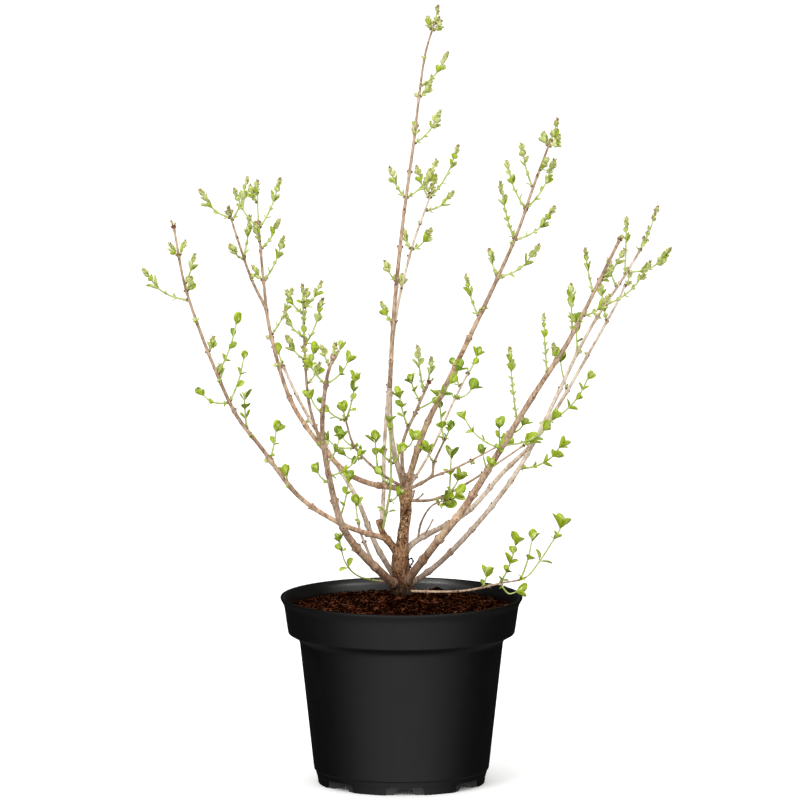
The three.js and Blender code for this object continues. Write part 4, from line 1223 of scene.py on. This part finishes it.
def put_open_leaf(shoot, foot, heading, turn, share, lush, draw):
    """A leaf that has opened; the higher up its shoot, the larger and the more upright."""
    roll, spin = draw.uniform(-0.3, 0.3), draw.uniform(-16, 16)
    size = mix(4.8, 11.4, sin(min(share * 1.25, 1) * pi / 2))
    size *= lush * draw.uniform(0.65, 1.15)
    kind = DEEP if draw.random() < 0.25 else FRESH
    tilt = mix(62, 40, share) + draw.uniform(-14, 14)
    put_leaf(shoot, kind, foot, heading, turn + spin, tilt, size, draw.uniform(0.66, 0.85),
             draw.uniform(0.2, 0.6), draw.uniform(-0.6, 0.3), roll)


def put_end_leaves(shoot, lush, draw):
    """The two pairs of leaves at the end of an open shoot, some of them still shut."""
    route = shoot.route
    tip_kind = draw.choice((FRESH, FRESH, DEEP))
    shut = draw.random() < 0.35
    for k, size in enumerate((draw.uniform(8.5, 12), draw.uniform(6, 8))):
        for turn in (90, 270):
            tilt, curl, width = (20, -0.95, 0.7) if shut else (draw.uniform(32, 56), -0.2, 0.62)
            put_leaf(shoot, YOUNG if k else tip_kind, route.at(route.length),
                     route.heading(route.length), shoot.twist + 90 * k + turn,
                     tilt * (0.5 if k else 1), lush * size, width * draw.uniform(0.9, 1.1),
                     0.5 if shut else 0.3, curl)


def dress_shoot(shoot, draw):
    """Gives a shoot its stem, the scales round its foot, its leaves and its tip."""
    lush, at_tip = LUSH.get(shoot.cane, 1.0), shoot.number == 1
    if at_tip:
        reach = TIP_GROWN * shoot.route.length
        shoot = shoot._replace(route=Route([shoot.route.at(reach * k / 3) for k in range(4)]))
        lush *= LUSH_TIPS.get(shoot.cane, 1.0)
        if shoot.cane in SPENT_CANES:
            dress_spent_tip(shoot.route, draw)
            return
    route, length = shoot.route, shoot.route.length
    height = route.at(0).z + 40 * (draw.random() - 0.5)
    young = draw.random() < smooth(OPENED, FOLDED, height)
    twigs.tube(route, 0, length, lambda s, angle: mix(*TWIG_RADIUS, min(s / length, 1))
               * (1 + 0.3 * exp(-s / 1.5)), TWIG_SIDES, TWIG_STEP)
    heading = route.heading(0)
    for turn in (0, 90, 180, 270):
        side = turned(heading, shoot.twist + turn)
        put_scale(route.at(1.0) + side * 0.7, leant(heading, side, 24), 2.4, 1.6)
    if young:
        tip = 1.2 * length if at_tip else min(max(0.5 * length, 9), 19)
        spacing, bare_tip = FOLDED_SPACING, 0.8 * tip
    else:
        spacing, bare_tip = draw.uniform(*OPEN_SPACING), 2.0
    body = max(length - bare_tip, FIRST_PAIR + 1)
    pairs = max(2, 1 + round((body - FIRST_PAIR) / spacing))
    for k in range(pairs):
        share = k / (pairs - 1)
        s = mix(FIRST_PAIR, body, share)
        foot, heading = route.at(s), route.heading(s)
        for half in (0, 180):
            turn = shoot.twist + 90 * (k - pairs + 1) + half
            if draw.random() < FALLEN:
                continue
            if young:
                put_folded_leaf(shoot, foot, heading, turn, k == pairs - 1, draw)
            else:
                put_open_leaf(shoot, foot, heading, turn, share, lush, draw)
    if young:
        dress_tip(shoot, max(length - 0.62 * tip, 2), tip, draw.uniform(1.0, 1.3), draw)
    else:
        put_end_leaves(shoot, lush, draw)


for number, shoot in enumerate(shoots):
    dress_shoot(shoot, random.Random(1000 + number))

# A sleeping bud is a pair of brown scales; one that stirs shows a tuft of tiny leaves. Wood
# that is still green has a leaf in place of the bud.
draw, green_draw = random.Random(7), random.Random(8)
for cane, s, turn in sleeping:
    stem = Shoot(cane.name, STEM, routes[cane.name], turn)
    heading = stem.route.heading(s)
    side = turned(heading, turn)
    foot = stem.route.at(s) + side * plain_radius(cane, s)
    if s > GREEN_FROM.get(cane.name, inf):
        tilt = green_draw.uniform(44, 66)
        size = LUSH.get(cane.name, 1.0) * green_draw.uniform(6, 10.5)
        put_leaf(stem, FRESH, foot - side * 0.5, heading, turn, tilt, size,
                 green_draw.uniform(0.62, 0.8), 0.4, 0.4, green_draw.uniform(-0.3, 0.3))
        continue
    for lean in (30, 55):
        put_scale(foot - side * 0.4, leant(heading, side, lean), 2.6, 1.8)
    if draw.random() < STIRRING:
        kind = YOUNG if foot.z > TUFT_HEIGHT or draw.random() < 0.5 else FRESH
        out = leant(heading, side, 40)
        for around in (0, 180, 90, 270):
            put_leaf(stem, kind, foot, out, around, draw.uniform(18, 42), draw.uniform(3.2, 6),
                     0.6, 0.5, 0.1)

# A dead, curled strip of bark hangs on the foot of the trunk.
curl, strip = Route(BARK_CURL), Growth()
strip.tube(curl, 0, curl.length, lambda s, angle: 0.8 + 0.3 * sin(1.9 * s), 6, 0.7)
dead_strip = mottled_material("dead_bark_strip", "#1a120c", "#38271b", 2.0, 0.8)
strip.piece("curled_bark_strip", dead_strip, "bark", ["trunk"])

# The bare joints have a pair of buds too, which stay shut.
for cane in CANES:
    route = routes[cane.name]
    leafy_from = cane.bare + cane.leafy.first - 1 if cane.leafy else inf
    for s, turn in cane_joints[cane.name]:
        if s >= leafy_from:
            continue
        for half in (0, 180):
            heading = route.heading(s)
            side = turned(heading, turn + half)
            put_scale(route.at(s) + side * plain_radius(cane, s) * 1.1,
                      leant(heading, side, 34), 2.2, 1.6)

leaf_skins = {
    YOUNG: leaf_material("unfolding_lilac_leaf", "#b2bd5c", "#d3da92", "#e2e8b4", 0.55),
    FRESH: leaf_material("fresh_lilac_leaf", "#8fa816", "#b2c636", "#d3de80", 0.45),
    DEEP: leaf_material("grown_lilac_leaf", "#6c8a1a", "#8fa830", "#b8ca6c", 0.42),
}
for kind, growth in leaves.items():
    growth.piece(kind + "_leaves", leaf_skins[kind], "foliage", all_masses)
# Green skin without cork, the soft scales of flower buds, and the dry scales round the others.
green_skin = mottled_material("green_lilac_twig", "#9cad52", "#c2cb86", 6.0, 0.5)
bud_skin = mottled_material("lilac_flower_bud", "#a9a95a", "#ccd090", 3.0, 0.55)
tip_skin = mottled_material("brown_bud_tip", "#7d6a44", "#a8946a", 3.0, 0.6)
scale_skin = mottled_material("brown_bud_scale", "#4f3022", "#8a5c42", 3.0, 0.7)
twigs.piece("green_twigs", green_skin, "foliage", all_masses)
green_stems.piece("green_stem_ends", green_skin, "foliage", all_masses)
flower_buds.piece("flower_buds", bud_skin, "foliage", all_masses)
brown_tips.piece("bud_tips", tip_skin, "foliage", all_masses)
bud_scales.piece("bud_scales", scale_skin, "foliage", all_masses)
